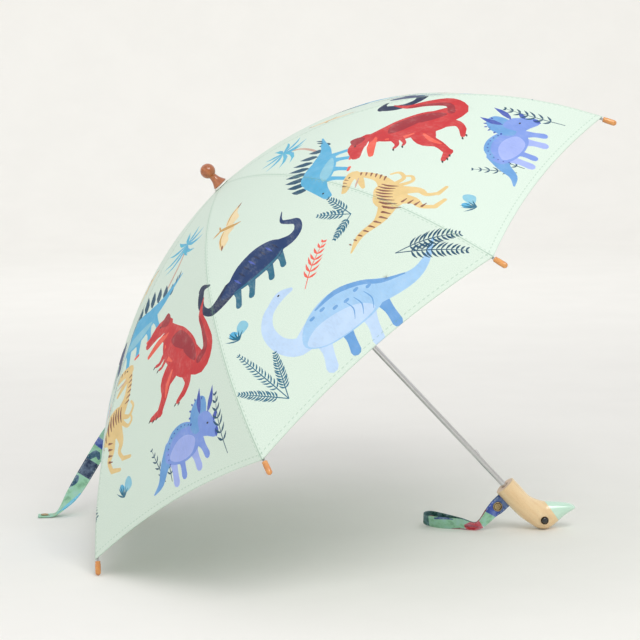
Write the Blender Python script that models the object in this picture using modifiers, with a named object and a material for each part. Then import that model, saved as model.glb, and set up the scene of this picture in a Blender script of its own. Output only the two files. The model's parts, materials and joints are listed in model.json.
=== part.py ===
"""A children's umbrella: eight ribs, printed canopy, turned finial and a carved handle.

Units are metres.  The umbrella is modelled open in its own frame, with the crown at the
origin, +Z up the shaft to the finial and the ribs spread evenly round it.  It is then
tilted to rest on a floor at z = 0 on two rib tips and the head of the handle, with the
finial towards -X and the handle towards +X.
"""

import math

import bmesh
import bpy
from mathutils import Matrix, Vector

# Driving dimensions.
RIB_COUNT = 8
RIM_RADIUS = 0.410          # shaft axis to a canopy corner
RIM_DROP = 0.2075           # crown down to the canopy corners
RIB_BOW = 0.050             # rise of a rib above its chord
FLOOR_FLEX = math.radians(5.0)   # extra bend of the ribs beyond their brackets
LINK = 0.210                # rib hinge to bracket hinge, and bracket hinge to runner hinge
CLOSED_CHORD = math.radians(3.5)  # rib chord to shaft when closed
SHAFT_RADIUS = 0.0035
SHAFT_BORE = 0.0027
HANDLE_TOP = 0.4940         # crown down to the top face of the handle
FABRIC_THICK = 0.0010
GAP = 0.0003                # between pieces that touch

# Hubs.
HINGE_RADIUS = 0.0085
HINGE_HEIGHT = 0.0060       # rib hinges above the crown
HUB_RADIUS = 0.0115
RUNNER_HUB_RADIUS = 0.0110
BORE_RADIUS = 0.0038
RIB_RADIUS = 0.0015
RIB_SLOT = 0.0037
STRETCHER_RADIUS = 0.0013
STRETCHER_SLOT = 0.0034
RIB_PAST_CORNER = 0.0060    # rib end inside its tip cap
BRACKET_DROP = 0.0042       # rib centreline to bracket hinge
FABRIC_LIFT = 0.0025        # rib centreline to the middle of the fabric
HEM_SCALLOP = 0.013

# Catches.
CATCH_WIDTH = 0.0016
CATCH_LENGTH = 0.0110
CATCH_PROUD = 0.0016
CATCH_AFTER_RUNNER = 0.0075 # runner's lower end to the middle of the catch that stops it
RUNNER_SKIRT = 0.0360       # runner hinges down to its lower end

# Finial, as (radius, height above its base).
COLLAR_BASE = 0.0093
FINIAL_BASE = 0.0117
FINIAL_BALL = 0.0090
FINIAL_BALL_HEIGHT = 0.0213
FINIAL_FLARE = [(0.0045, 0.0125), (0.0049, 0.0095), (0.0060, 0.0062), (0.0077, 0.0030),
                (0.0090, 0.0010), (0.0088, 0.0)]

# Handle outline: along the shaft from its top face, and across it, for the inner and the
# outer side, with the half width of each section.
HANDLE_SECTIONS = [
    ((0.0000, 0.0133), (0.0000, -0.0133), 0.0133),
    ((0.0140, 0.0133), (0.0140, -0.0133), 0.0133),
    ((0.0270, 0.0130), (0.0270, -0.0133), 0.0132),
    ((0.0350, 0.0145), (0.0420, -0.0125), 0.0131),
    ((0.0420, 0.0178), (0.0550, -0.0098), 0.0130),
    ((0.0470, 0.0208), (0.0660, -0.0068), 0.0128),
    ((0.0492, 0.0225), (0.0745, -0.0010), 0.0124),
    ((0.0508, 0.0242), (0.0778, 0.0080), 0.0119),
    ((0.0530, 0.0262), (0.0786, 0.0170), 0.0113),
    ((0.0575, 0.0305), (0.0786, 0.0245), 0.0106),
    ((0.0640, 0.0365), (0.0794, 0.0325), 0.0100),
    ((0.0715, 0.0425), (0.0806, 0.0395), 0.0090),
    ((0.0775, 0.0455), (0.0815, 0.0445), 0.0060),
]
HANDLE_SIDES = 24
BILL_LINE = ((0.0493, 0.0222), (0.0780, 0.0186))
EYE_PLACE = (0.0632, 0.0062)
EYE_RADIUS = 0.0040
HANDLE_BORE_DEPTH = 0.030
STRAP_SLOT_PLACE = 0.0132
STRAP_SLOT_LENGTH = 0.0212
STRAP_SLOT_WIDTH = 0.0042
STRAP_SLOT_DEPTH = 0.0050

# Straps.
WRIST_STRAP_WIDTH = 0.0190
WRIST_STRAP_THICK = 0.0026
SNAP_RADIUS = 0.0060
SNAP_DROP = 0.0240          # shaft axis down to the snap
TIE_STRAP_WIDTH = 0.0190
TIE_STRAP_THICK = 0.0018

FLOOR_CLEARANCE = 0.0006
CAP_RADIUS = 0.00325
CAP_LENGTH = 0.0160
CAP_BORE = 0.0018
CAP_BORE_DEPTH = 0.0075

COLOURS = {
    "steel": ((0.62, 0.62, 0.63), 0.22, 1.0),
    "black_steel": ((0.06, 0.06, 0.065), 0.35, 0.9),
    "white_plastic": ((0.86, 0.86, 0.84), 0.4, 0.0),
    "canopy_cloth": ((0.66, 0.83, 0.70), 0.7, 0.0),
    "strap_cloth": ((0.16, 0.30, 0.50), 0.7, 0.0),
    "finial_wood": ((0.52, 0.16, 0.045), 0.25, 0.0),
    "tip_wood": ((0.78, 0.36, 0.09), 0.3, 0.0),
    "handle_wood": ((0.82, 0.58, 0.32), 0.3, 0.0),
    "mint_paint": ((0.55, 0.82, 0.66), 0.2, 0.0),
    "eye_black": ((0.01, 0.01, 0.01), 0.15, 0.0),
    "brass": ((0.48, 0.40, 0.28), 0.35, 1.0),
}


def clear_scene():
    for obj in list(bpy.data.objects):
        bpy.data.objects.remove(obj, do_unlink=True)


def new_collection(name):
    found = bpy.data.collections.new(name)
    bpy.context.scene.collection.children.link(found)
    return found


clear_scene()
PARTS = new_collection("childrens_umbrella")
CUTTERS = new_collection("cutters")
AXIS = bpy.data.objects.new("umbrella_axis", None)
PARTS.objects.link(AXIS)


def material(name):
    found = bpy.data.materials.get(name)
    if found:
        return found
    colour, roughness, metallic = COLOURS[name]
    made = bpy.data.materials.new(name)
    made.use_nodes = True
    shader = made.node_tree.nodes["Principled BSDF"]
    shader.inputs["Base Color"].default_value = (*colour, 1.0)
    shader.inputs["Roughness"].default_value = roughness
    shader.inputs["Metallic"].default_value = metallic
    return made


def add_object(name, data, cloth_or_wood, place=(0, 0, 0), parent=AXIS):
    """Puts data in the scene as one node, standing at place in the umbrella's frame."""
    obj = bpy.data.objects.new(name, data)
    PARTS.objects.link(obj)
    obj.parent = parent
    obj.location = place
    data.materials.clear()
    data.materials.append(material(cloth_or_wood))
    return obj


def make_cutter(obj):
    PARTS.objects.unlink(obj)
    CUTTERS.objects.link(obj)
    obj.hide_render = True
    obj.display_type = "WIRE"
    return obj


def cut(obj, cutter, operation="DIFFERENCE"):
    boolean = obj.modifiers.new("cut", "BOOLEAN")
    boolean.operation = operation
    boolean.solver = "EXACT"
    boolean.object = make_cutter(cutter)
    return obj


def mesh_from(name, build):
    """A mesh made by build, which gets an empty bmesh."""
    shape = bmesh.new()
    build(shape)
    bmesh.ops.recalc_face_normals(shape, faces=shape.faces)
    data = bpy.data.meshes.new(name)
    shape.to_mesh(data)
    shape.free()
    return data


def box_mesh(name, size, turn=Matrix.Identity(4)):
    def build(shape):
        scale = Matrix.Diagonal((*size, 1.0))
        bmesh.ops.create_cube(shape, size=1.0, matrix=turn @ scale)
    return mesh_from(name, build)


def disc_mesh(name, radius, depth, turn, sides=24):
    def build(shape):
        bmesh.ops.create_cone(shape, cap_ends=True, segments=sides, radius1=radius,
                              radius2=radius, depth=depth, matrix=turn)
    return mesh_from(name, build)


def turned(name, profile, cloth_or_wood, place=(0, 0, 0), steps=32):
    """A profile of (radius, height), from the top down its outer side, turned round Z."""
    data = bpy.data.meshes.new(name)
    points = [(radius, 0.0, height) for radius, height in profile]
    closed = profile[0] == profile[-1]
    if closed:
        points = points[:-1]
    edges = [(i, i + 1) for i in range(len(points) - 1)]
    if closed:
        edges.append((len(points) - 1, 0))
    data.from_pydata(points, edges, [])
    obj = add_object(name, data, cloth_or_wood, place)
    screw = obj.modifiers.new("turn", "SCREW")
    screw.axis = "Z"
    screw.steps = steps
    screw.render_steps = steps
    screw.use_merge_vertices = True
    screw.merge_threshold = 0.00001
    screw.use_smooth_shade = True
    return obj


def tube(name, points, radius, cloth_or_wood, place=(0, 0, 0), resolution=2):
    """A round wire through the points, which are given from place."""
    data = bpy.data.curves.new(name, "CURVE")
    data.dimensions = "3D"
    data.bevel_depth = radius
    data.bevel_resolution = resolution
    data.use_fill_caps = True
    line = data.splines.new("POLY")
    line.points.add(len(points) - 1)
    for point, where in zip(line.points, points):
        point.co = (*where, 1.0)
    return add_object(name, data, cloth_or_wood, place)


def as_mesh(obj, cloth_or_wood):
    """The same shape as a mesh with its caps welded, so that it can be cut and joined."""
    bpy.context.view_layer.update()
    graph = bpy.context.evaluated_depsgraph_get()
    data = bpy.data.meshes.new_from_object(obj.evaluated_get(graph))
    shape = bmesh.new()
    shape.from_mesh(data)
    bmesh.ops.remove_doubles(shape, verts=shape.verts, dist=0.00001)
    bmesh.ops.recalc_face_normals(shape, faces=shape.faces)
    shape.to_mesh(data)
    shape.free()
    name = obj.name
    place = obj.location.copy()
    bpy.data.objects.remove(obj, do_unlink=True)
    return add_object(name, data, cloth_or_wood, place)


def baked(obj):
    """Applies the modifiers, so that copies can share the finished mesh."""
    bpy.context.view_layer.update()
    graph = bpy.context.evaluated_depsgraph_get()
    data = bpy.data.meshes.new_from_object(obj.evaluated_get(graph))
    obj.modifiers.clear()
    obj.data = data
    return data


def loft(name, rings, cloth_or_wood, place=(0, 0, 0)):
    """A closed body through rings of equally many points, with flat ends."""
    def build(shape):
        rows = [[shape.verts.new(point) for point in ring] for ring in rings]
        for row, following in zip(rows, rows[1:]):
            for i in range(len(row)):
                j = (i + 1) % len(row)
                shape.faces.new((row[i], row[j], following[j], following[i]))
        shape.faces.new(rows[0][::-1])
        shape.faces.new(rows[-1])
    return add_object(name, mesh_from(name, build), cloth_or_wood, place)


# ---------------------------------------------------------------- the ribs' geometry

def rib_azimuth(number):
    return math.radians(360.0 / RIB_COUNT * (number - 0.5))


def out_from_axis(azimuth):
    return Vector((math.cos(azimuth), math.sin(azimuth), 0.0))


def round_axis(azimuth):
    return Vector((-math.sin(azimuth), math.cos(azimuth), 0.0))


UP = Vector((0.0, 0.0, 1.0))
CHORD = Vector((RIM_RADIUS - HINGE_RADIUS, 0.0, -RIM_DROP - HINGE_HEIGHT))
CHORD_ANGLE = math.atan2(CHORD.x, -CHORD.z)      # rib chord to the shaft when open
HALF_TURN = 2.0 * math.atan(2.0 * RIB_BOW / CHORD.length)
ARC_RADIUS = CHORD.length / (2.0 * math.sin(HALF_TURN))
ARC_LENGTH = 2.0 * ARC_RADIUS * HALF_TURN
BRACKET_ARC = 2.0 * ARC_RADIUS * math.asin(LINK / (2.0 * ARC_RADIUS))
LINK_ANGLE = (CHORD_ANGLE + HALF_TURN - BRACKET_ARC / (2.0 * ARC_RADIUS)
              - math.asin(BRACKET_DROP / LINK))
FOLD = CHORD_ANGLE - CLOSED_CHORD
RUNNER_HEIGHT = HINGE_HEIGHT - 2.0 * LINK * math.cos(LINK_ANGLE)
RUNNER_TRAVEL = 2.0 * LINK * (math.cos(LINK_ANGLE - FOLD) - math.cos(LINK_ANGLE))


class RibLine:
    """A rib's centreline, stepped out from its hinge: an arc, bent further beyond its bracket."""

    STEPS = 120

    def __init__(self, azimuth):
        self.out = out_from_axis(azimuth)
        self.flex = -FLOOR_FLEX * math.cos(azimuth)
        self.length = ARC_LENGTH + RIB_PAST_CORNER
        self.step = self.length / self.STEPS
        radius, height = HINGE_RADIUS, HINGE_HEIGHT
        self.points = [(radius, height)]
        for i in range(self.STEPS):
            angle = self.angle_at((i + 0.5) * self.step)
            radius += self.step * math.sin(angle)
            height -= self.step * math.cos(angle)
            self.points.append((radius, height))

    def angle_at(self, along):
        """Direction of the rib from straight down the shaft."""
        arc = CHORD_ANGLE + HALF_TURN - along / ARC_RADIUS
        beyond = max(0.0, (along - BRACKET_ARC) / (self.length - BRACKET_ARC))
        return arc + 1.5 * self.flex * (2.0 * beyond - beyond * beyond)

    def at(self, along, lift=0.0):
        """The point this far along the rib, raised off its centreline on the outer side."""
        place = min(max(along / self.step, 0.0), self.STEPS - 1e-6)
        first = int(place)
        share = place - first
        radius = (1 - share) * self.points[first][0] + share * self.points[first + 1][0]
        height = (1 - share) * self.points[first][1] + share * self.points[first + 1][1]
        angle = self.angle_at(along)
        radius += lift * math.cos(angle)
        height += lift * math.sin(angle)
        return self.out * radius + UP * height

    def direction(self, along):
        angle = self.angle_at(along)
        return self.out * math.sin(angle) - UP * math.cos(angle)


RIBS = {number: RibLine(rib_azimuth(number)) for number in range(1, RIB_COUNT + 1)}


def rib_hinge(number):
    return out_from_axis(rib_azimuth(number)) * HINGE_RADIUS + UP * HINGE_HEIGHT


def bracket_hinge(number):
    out = out_from_axis(rib_azimuth(number))
    return rib_hinge(number) + LINK * (out * math.sin(LINK_ANGLE) - UP * math.cos(LINK_ANGLE))


def frame_matrix(x_axis, y_axis, z_axis, place=(0, 0, 0)):
    turn = Matrix((x_axis, y_axis, z_axis)).transposed().to_4x4()
    return Matrix.Translation(place) @ turn


# ---------------------------------------------------------------- shaft and hubs

def build_shaft():
    top = FINIAL_BASE + 0.0050
    bottom = -HANDLE_TOP - HANDLE_BORE_DEPTH + 0.0010
    profile = [(SHAFT_BORE, top), (SHAFT_RADIUS, top), (SHAFT_RADIUS, bottom),
               (SHAFT_BORE, bottom), (SHAFT_BORE, top)]
    shaft = turned("shaft", profile, "steel", steps=24)
    for height in (catch_height(0.0), catch_height(RUNNER_TRAVEL)):
        size = (0.0060, CATCH_WIDTH + 0.0008, CATCH_LENGTH + 0.0010)
        slot = add_object("catch_slot", box_mesh("catch_slot", size), "steel",
                          (0.0045, 0.0, height))
        cut(shaft, slot)


def catch_height(travel):
    """The catch that the runner's lower end meets after this much travel."""
    return RUNNER_HEIGHT - travel - RUNNER_SKIRT - CATCH_AFTER_RUNNER


def slotted_hub(hub, slot_width, floor_radius, height, tall):
    """Cuts one slot for each rib, from floor_radius outwards."""
    for number in range(1, RIB_COUNT + 1):
        azimuth = rib_azimuth(number)
        length = 2.0 * HUB_RADIUS
        place = out_from_axis(azimuth) * (floor_radius + length / 2.0) + UP * height
        slot = add_object("hub_slot", box_mesh("hub_slot", (length, slot_width, tall)),
                          "steel", place)
        slot.rotation_euler = (0.0, 0.0, azimuth)
        cut(hub, slot)


def build_top_notch():
    top, ring, boss = 0.0070, 0.0010, -0.0045
    profile = [(BORE_RADIUS, top), (HUB_RADIUS, top), (HUB_RADIUS, ring), (0.0060, ring),
               (0.0060, boss), (BORE_RADIUS, boss), (BORE_RADIUS, top)]
    notch = turned("top_notch", profile, "black_steel")
    slotted_hub(notch, RIB_SLOT, 0.0062, 0.0060, 0.0300)


def build_runner():
    ring, head = 0.0032, 0.0085
    profile = [(BORE_RADIUS, head), (0.0062, head), (0.0062, ring),
               (RUNNER_HUB_RADIUS, ring), (RUNNER_HUB_RADIUS, -ring), (0.0062, -ring),
               (0.0062, -RUNNER_SKIRT), (BORE_RADIUS, -RUNNER_SKIRT), (BORE_RADIUS, head)]
    runner = turned("runner", profile, "black_steel", (0, 0, RUNNER_HEIGHT))
    slotted_hub(runner, STRETCHER_SLOT, 0.0064, RUNNER_HEIGHT, 0.0080)
    groove_reach = SHAFT_RADIUS + CATCH_PROUD + 0.0004
    size = (groove_reach, CATCH_WIDTH + 0.0008, 0.0800)
    groove = add_object("catch_groove", box_mesh("catch_groove", size), "steel",
                        (groove_reach / 2.0, 0.0, RUNNER_HEIGHT))
    cut(runner, groove)


def build_catch(name, height):
    """A thin sprung wedge in the shaft's slot, with a ramp that the runner rides over."""
    inner, outer = 0.0012, SHAFT_RADIUS + CATCH_PROUD
    half = CATCH_LENGTH / 2.0
    outline = [(inner, half), (SHAFT_RADIUS, half), (outer, half - 0.0012),
               (outer, half - 0.0034), (SHAFT_RADIUS, -half), (inner, -half)]
    rings = [[(x, side * CATCH_WIDTH / 2.0, z) for x, z in outline] for side in (-1, 1)]
    loft(name, rings, "steel", (0.0, 0.0, height))


def build_collar():
    profile = [(BORE_RADIUS, COLLAR_BASE + 0.0021), (0.0092, COLLAR_BASE + 0.0021),
               (0.0102, COLLAR_BASE + 0.0014), (0.0102, COLLAR_BASE),
               (BORE_RADIUS, COLLAR_BASE), (BORE_RADIUS, COLLAR_BASE + 0.0021)]
    turned("collar", profile, "white_plastic")


def build_finial():
    profile = []
    neck_angle = math.asin(FINIAL_FLARE[0][0] / FINIAL_BALL)
    turns = 10
    for i in range(turns + 1):
        angle = (math.pi - neck_angle) * i / turns
        radius = 0.0 if i == 0 else FINIAL_BALL * math.sin(angle)
        profile.append((radius, FINIAL_BALL_HEIGHT + FINIAL_BALL * math.cos(angle)))
    profile += FINIAL_FLARE
    profile += [(BORE_RADIUS, 0.0), (BORE_RADIUS, 0.0056), (0.0, 0.0056)]
    turned("finial", profile, "finial_wood", (0, 0, FINIAL_BASE))


# ---------------------------------------------------------------- ribs and stretchers

def build_rib(number):
    rib = RIBS[number]
    hinge = rib_hinge(number)
    pieces = 17
    stops = [-0.0012] + [rib.length * i / pieces for i in range(1, pieces + 1)]
    points = [rib.at(max(stop, 0.0)) + min(stop, 0.0) * rib.direction(0.0) - hinge
              for stop in stops]
    name = f"rib_{number}"
    wire = as_mesh(tube(name, points, RIB_RADIUS, "steel", hinge), "steel")
    along = rib.direction(BRACKET_ARC)
    across = round_axis(rib_azimuth(number))
    outward = along.cross(across)
    drop = BRACKET_DROP + 0.0020
    middle = bracket_hinge(number) + outward * ((BRACKET_DROP - 0.0020) / 2.0)
    turn = frame_matrix(along, across, outward)
    lug = add_object("lug", box_mesh("lug", (0.0048, 0.0014, drop), turn), "steel", middle)
    cut(wire, lug, "UNION")


def build_stretchers():
    """Each stretcher forks round its rib's lug; they share one mesh, turned to each rib."""
    arm = tube("stretcher_arm", [(-0.0013, 0, 0), (LINK / 2, 0, 0), (LINK - 0.007, 0, 0)],
               STRETCHER_RADIUS, "steel")
    arm = as_mesh(arm, "steel")
    block = box_mesh("fork", (0.0090, 0.0048, 0.0040))
    cut(arm, add_object("fork", block, "steel", (LINK - 0.0045, 0, 0)), "UNION")
    across = Matrix.Rotation(math.pi / 2.0, 4, "X")
    cut(arm, add_object("fork_end", disc_mesh("fork_end", 0.0021, 0.0048, across, 16),
                        "steel", (LINK, 0, 0)), "UNION")
    slot = box_mesh("fork_slot", (0.0100, 0.0020, 0.0100))
    cut(arm, add_object("fork_slot", slot, "steel", (LINK - 0.0001, 0, 0)))
    shared = baked(arm)
    bpy.data.objects.remove(arm, do_unlink=True)
    for number in range(1, RIB_COUNT + 1):
        out = out_from_axis(rib_azimuth(number))
        inner = out * HINGE_RADIUS + UP * RUNNER_HEIGHT
        along = (bracket_hinge(number) - inner).normalized()
        across = round_axis(rib_azimuth(number))
        data = shared.copy()
        data.transform(frame_matrix(along, across, along.cross(across)))
        data.transform(Matrix.Translation(inner - bracket_hinge(number)))
        add_object(f"stretcher_{number}", data, "steel", bracket_hinge(number))


def build_tip_cap(number):
    rib = RIBS[number]
    start = ARC_LENGTH + 0.0008
    round_end = 5
    profile = []
    for i in range(round_end + 1):
        angle = math.pi / 2.0 * i / round_end
        radius = 0.0 if i == 0 else CAP_RADIUS * math.sin(angle)
        profile.append((radius, CAP_LENGTH - CAP_RADIUS + CAP_RADIUS * math.cos(angle)))
    profile += [(CAP_RADIUS * 0.93, 0.0), (CAP_BORE, 0.0), (CAP_BORE, CAP_BORE_DEPTH),
                (0.0, CAP_BORE_DEPTH)]
    cap = turned(f"tip_cap_{number}", profile, "tip_wood", rib.at(start), steps=16)
    cap.rotation_mode = "QUATERNION"
    cap.rotation_quaternion = UP.rotation_difference(rib.direction(ARC_LENGTH))


# ---------------------------------------------------------------- canopy

def fabric_point(number, side, along, across, lift=FABRIC_LIFT):
    """A point of the gore beside a rib: along it, and across from the rib to mid-gore."""
    neighbour = (number - 1 + side) % RIB_COUNT + 1
    own = RIBS[number].at(along, lift)
    other = RIBS[neighbour].at(along, lift)
    return own + (other - own) * (0.5 * across)


def fabric_row(number, side, share, cells):
    """Points across a half gore, kept a hair clear of the rib line and of mid-gore."""
    start = 0.0012
    row = []
    for cell in range(cells + 1):
        across = cell / cells
        hem = ARC_LENGTH - 0.0010 - HEM_SCALLOP * (1.0 - (1.0 - across) ** 2)
        along = start + (hem - start) * share
        edge = fabric_point(number, side, along, 0.0)
        middle = fabric_point(number, side, along, 1.0)
        clear = 0.0004 / (middle - edge).length
        row.append(fabric_point(number, side, along, clear + (1.0 - 2.0 * clear) * across))
    return row


def build_half_gore(number, side):
    hinge = rib_hinge(number)
    rows, cells = 14, 3
    points = [[point - hinge for point in fabric_row(number, side, i / rows, cells)]
              for i in range(rows + 1)]

    def build(shape):
        verts = [[shape.verts.new(point) for point in row] for row in points]
        for i in range(rows):
            for j in range(cells):
                shape.faces.new((verts[i][j], verts[i][j + 1], verts[i + 1][j + 1],
                                 verts[i + 1][j]))
    letter = "a" if side < 0 else "b"
    name = f"gore_{number}{letter}"
    sheet = add_object(name, mesh_from(name, build), "canopy_cloth", hinge)
    thicken = sheet.modifiers.new("thickness", "SOLIDIFY")
    thicken.thickness = FABRIC_THICK
    thicken.offset = 0.0
    thicken.use_even_offset = False


# ---------------------------------------------------------------- handle

def handle_point(along, across, sideways=0.0):
    return Vector((across, sideways, -HANDLE_TOP - along))


def handle_ring(inner, outer, half_width):
    middle = (handle_point(*inner) + handle_point(*outer)) / 2.0
    reach = (handle_point(*inner) - handle_point(*outer)) / 2.0
    ring = []
    for i in range(HANDLE_SIDES):
        angle = 2.0 * math.pi * i / HANDLE_SIDES
        ring.append(middle + reach * math.cos(angle)
                    + Vector((0.0, half_width * math.sin(angle), 0.0)))
    return ring


def bill_plane_cutter(name, beyond):
    """A block with one face on the line where bill meets head: on the bill side if beyond."""
    size = 0.300
    inner = handle_point(*BILL_LINE[0])
    outer = handle_point(*BILL_LINE[1])
    line = (outer - inner).normalized()
    across = Vector((0.0, 1.0, 0.0))
    normal = across.cross(line)
    if normal.x < 0:
        normal = -normal
    side = normal if beyond else -normal
    shift = 0.0 if beyond else GAP
    middle = (inner + outer) / 2.0 + side * size / 2.0 + normal * shift
    turn = frame_matrix(line, across, line.cross(across))
    return add_object(name, box_mesh(name, (size, size, size), turn), "steel", middle)


def build_handle():
    rings = [handle_ring(*section) for section in HANDLE_SECTIONS]
    handle = loft("handle", rings, "handle_wood")
    bill = loft("bill", rings, "mint_paint")
    cut(handle, bill_plane_cutter("bill_side", True))
    cut(bill, bill_plane_cutter("head_side", False))
    bore = disc_mesh("shaft_bore", BORE_RADIUS, 2.0 * HANDLE_BORE_DEPTH, Matrix.Identity(4))
    cut(handle, add_object("shaft_bore", bore, "steel", handle_point(0.0, 0.0)))
    size = (2.0 * STRAP_SLOT_DEPTH, STRAP_SLOT_WIDTH, STRAP_SLOT_LENGTH)
    slot = add_object("strap_slot", box_mesh("strap_slot", size), "steel",
                      handle_point(STRAP_SLOT_PLACE, -0.0133))
    cut(handle, slot)


def build_eyes():
    """Small domed studs, one on each side of the head."""
    head_half_width = 0.01275
    for name, side in (("eye_right", -1.0), ("eye_left", 1.0)):
        profile = [(0.0, 0.0016), (0.0015, 0.0014), (0.0029, 0.0008),
                   (EYE_RADIUS, -0.0004), (EYE_RADIUS, -0.0010), (0.0, -0.0010)]
        place = handle_point(*EYE_PLACE, side * (head_half_width + 0.0013))
        eye = turned(name, profile, "eye_black", place, steps=20)
        eye.rotation_euler = (-side * math.pi / 2.0, 0.0, 0.0)


# ---------------------------------------------------------------- resting on the floor

def world_points(obj, matrix):
    graph = bpy.context.evaluated_depsgraph_get()
    evaluated = obj.evaluated_get(graph)
    data = evaluated.to_mesh()
    points = [matrix @ obj.matrix_local @ vertex.co for vertex in data.vertices]
    evaluated.to_mesh_clear()
    return points


def tilt_matrix(tilt):
    """The shaft's +Z turned over towards -X, so that it stands tilt above the floor."""
    return Matrix.Rotation(tilt - math.pi / 2.0, 4, "Y")


def rest_tilt():
    """The tilt at which the lowest rib tips and the handle's head reach equally low."""
    bpy.context.view_layer.update()
    caps = []
    for number in range(1, RIB_COUNT + 1):
        caps += world_points(bpy.data.objects[f"tip_cap_{number}"], Matrix.Identity(4))
    head = world_points(bpy.data.objects["handle"], Matrix.Identity(4))
    low, high = math.radians(30.0), math.radians(60.0)
    for _ in range(50):
        tilt = (low + high) / 2.0
        turn = tilt_matrix(tilt)
        cap_low = min((turn @ point).z for point in caps)
        head_low = min((turn @ point).z for point in head)
        if head_low > cap_low:
            low = tilt
        else:
            high = tilt
    return tilt, -cap_low


def band(name, stations, width, thick, cloth):
    """A flat strap through stations of (middle, width direction, width share)."""
    rings = []
    for i, (middle, across, share) in enumerate(stations):
        before = Vector(stations[max(i - 1, 0)][0])
        after = Vector(stations[min(i + 1, len(stations) - 1)][0])
        along = (after - before).normalized()
        across = Vector(across)
        across = (across - along * across.dot(along)).normalized() * (width * share / 2.0)
        up = along.cross(across).normalized() * (thick / 2.0)
        middle = Vector(middle)
        rings.append([middle + across + up, middle - across + up,
                      middle - across - up, middle + across - up])
    return loft(name, rings, cloth)


def build_wrist_strap(to_world):
    """Out of the handle's slot, down past the snap, then standing on edge along the floor."""
    from_world = to_world.inverted()
    down_shaft = (to_world.to_3x3() @ Vector((0.0, 0.0, -1.0)))
    root = to_world @ handle_point(STRAP_SLOT_PLACE, -0.0100)
    snap = to_world @ handle_point(STRAP_SLOT_PLACE, -SNAP_DROP)
    low = to_world @ handle_point(STRAP_SLOT_PLACE, -0.0335)
    edge = 0.5 * WRIST_STRAP_WIDTH
    floor = FLOOR_CLEARANCE
    turned_at = Vector((low.x - 0.0170, 0.0030, floor + 0.70 * edge))
    stations = [
        (root, down_shaft, 1.0),
        (snap, down_shaft, 1.0),
        (low, down_shaft + Vector((0.10, 0.0, 0.0)), 0.84),
        (turned_at, (0.25, 0.10, -1.0), 0.70),
        (turned_at + Vector((-0.0200, 0.0100, 0.0004)), (0.0, 0.15, -1.0), 0.70),
        (turned_at + Vector((-0.0420, 0.0240, 0.0010)), (0.0, 0.20, -1.0), 0.74),
        (turned_at + Vector((-0.0620, 0.0400, 0.0016)), (0.0, 0.20, -1.0), 0.78),
    ]
    local = [(from_world @ Vector(middle), from_world.to_3x3() @ Vector(across), share)
             for middle, across, share in stations]
    band("wrist_strap", local, WRIST_STRAP_WIDTH, WRIST_STRAP_THICK, "strap_cloth")


def build_snap():
    """The two halves of a press stud, on either face of the wrist strap."""
    off = WRIST_STRAP_THICK / 2.0 + GAP
    for name, side in (("snap_cap", -1.0), ("snap_socket", 1.0)):
        profile = [(0.0, 0.0015), (0.0030, 0.0013), (0.0050, 0.0008),
                   (SNAP_RADIUS, 0.0002), (SNAP_RADIUS, 0.0), (0.0, 0.0)]
        place = handle_point(STRAP_SLOT_PLACE, -SNAP_DROP, side * off)
        stud = turned(name, profile, "brass", place, steps=20)
        stud.rotation_euler = (-side * math.pi / 2.0, 0.0, 0.0)


def build_tie_strap(to_world):
    """Sewn on the outside of the gore beside rib 4, hanging down to the floor behind it."""
    from_world = to_world.inverted()
    rib, side, along, across = 4, -1, 0.360, 0.55
    lift = FABRIC_LIFT + FABRIC_THICK / 2.0 + GAP + TIE_STRAP_THICK / 2.0 + 0.0004
    sewn = to_world @ fabric_point(rib, side, along, across, lift)
    lower = to_world @ fabric_point(rib, side, along + 0.02, across, lift)
    level = to_world @ fabric_point(rib, side, along, across + 0.1, lift)
    outward = (lower - sewn).cross(level - sewn).normalized()
    if outward.x > 0:
        outward = -outward
    run = Vector((-0.45, 0.02, -0.80))
    run = (run - outward * run.dot(outward)).normalized()
    flat = outward.cross(run)
    if flat.x < 0:
        flat = -flat
    fall = [
        (-0.0400, -0.0030, 0.0925, (0.80, 0.00, -0.60), 1.00),
        (-0.0610, -0.0090, 0.0595, (0.80, -0.05, -0.60), 1.00),
        (-0.0800, -0.0130, 0.0300, (0.60, -0.50, -0.45), 0.98),
        (-0.0950, -0.0150, 0.0110, (0.20, -1.00, -0.15), 0.95),
        (-0.1030, -0.0165, 0.0034, (0.00, -1.00, 0.00), 0.92),
        (-0.1100, -0.0170, 0.0017, (0.00, -1.00, 0.00), 0.92),
        (-0.12606, -0.0173, 0.0017, (0.00, -1.00, 0.00), 0.90),
    ]
    stations = [
        (sewn, flat, 1.0),
        (sewn + run * 0.0160 + outward * 0.0006, flat, 1.0),
        (sewn + run * 0.0300 + outward * 0.0060, flat + Vector((0.2, 0, 0)), 1.0),
    ]
    for x, y, height, across_strap, share in fall:
        stations.append((Vector((sewn.x + x, sewn.y + y, height)), across_strap, share))
    local = [(from_world @ Vector(middle), from_world.to_3x3() @ Vector(across), share)
             for middle, across, share in stations]
    band("tie_strap", local, TIE_STRAP_WIDTH, TIE_STRAP_THICK, "canopy_cloth")
    place = Vector((sewn.x - 0.1178, sewn.y - 0.0172, 0.0017 + TIE_STRAP_THICK / 2.0 + GAP))
    profile = [(0.0, 0.0013), (0.0026, 0.0011), (0.0044, 0.0006), (0.0050, 0.0),
               (0.0, 0.0)]
    stud = turned("tie_snap", profile, "brass", from_world @ place, steps=16)
    stud.rotation_mode = "QUATERNION"
    stud.rotation_quaternion = UP.rotation_difference(from_world.to_3x3() @ UP)


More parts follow.
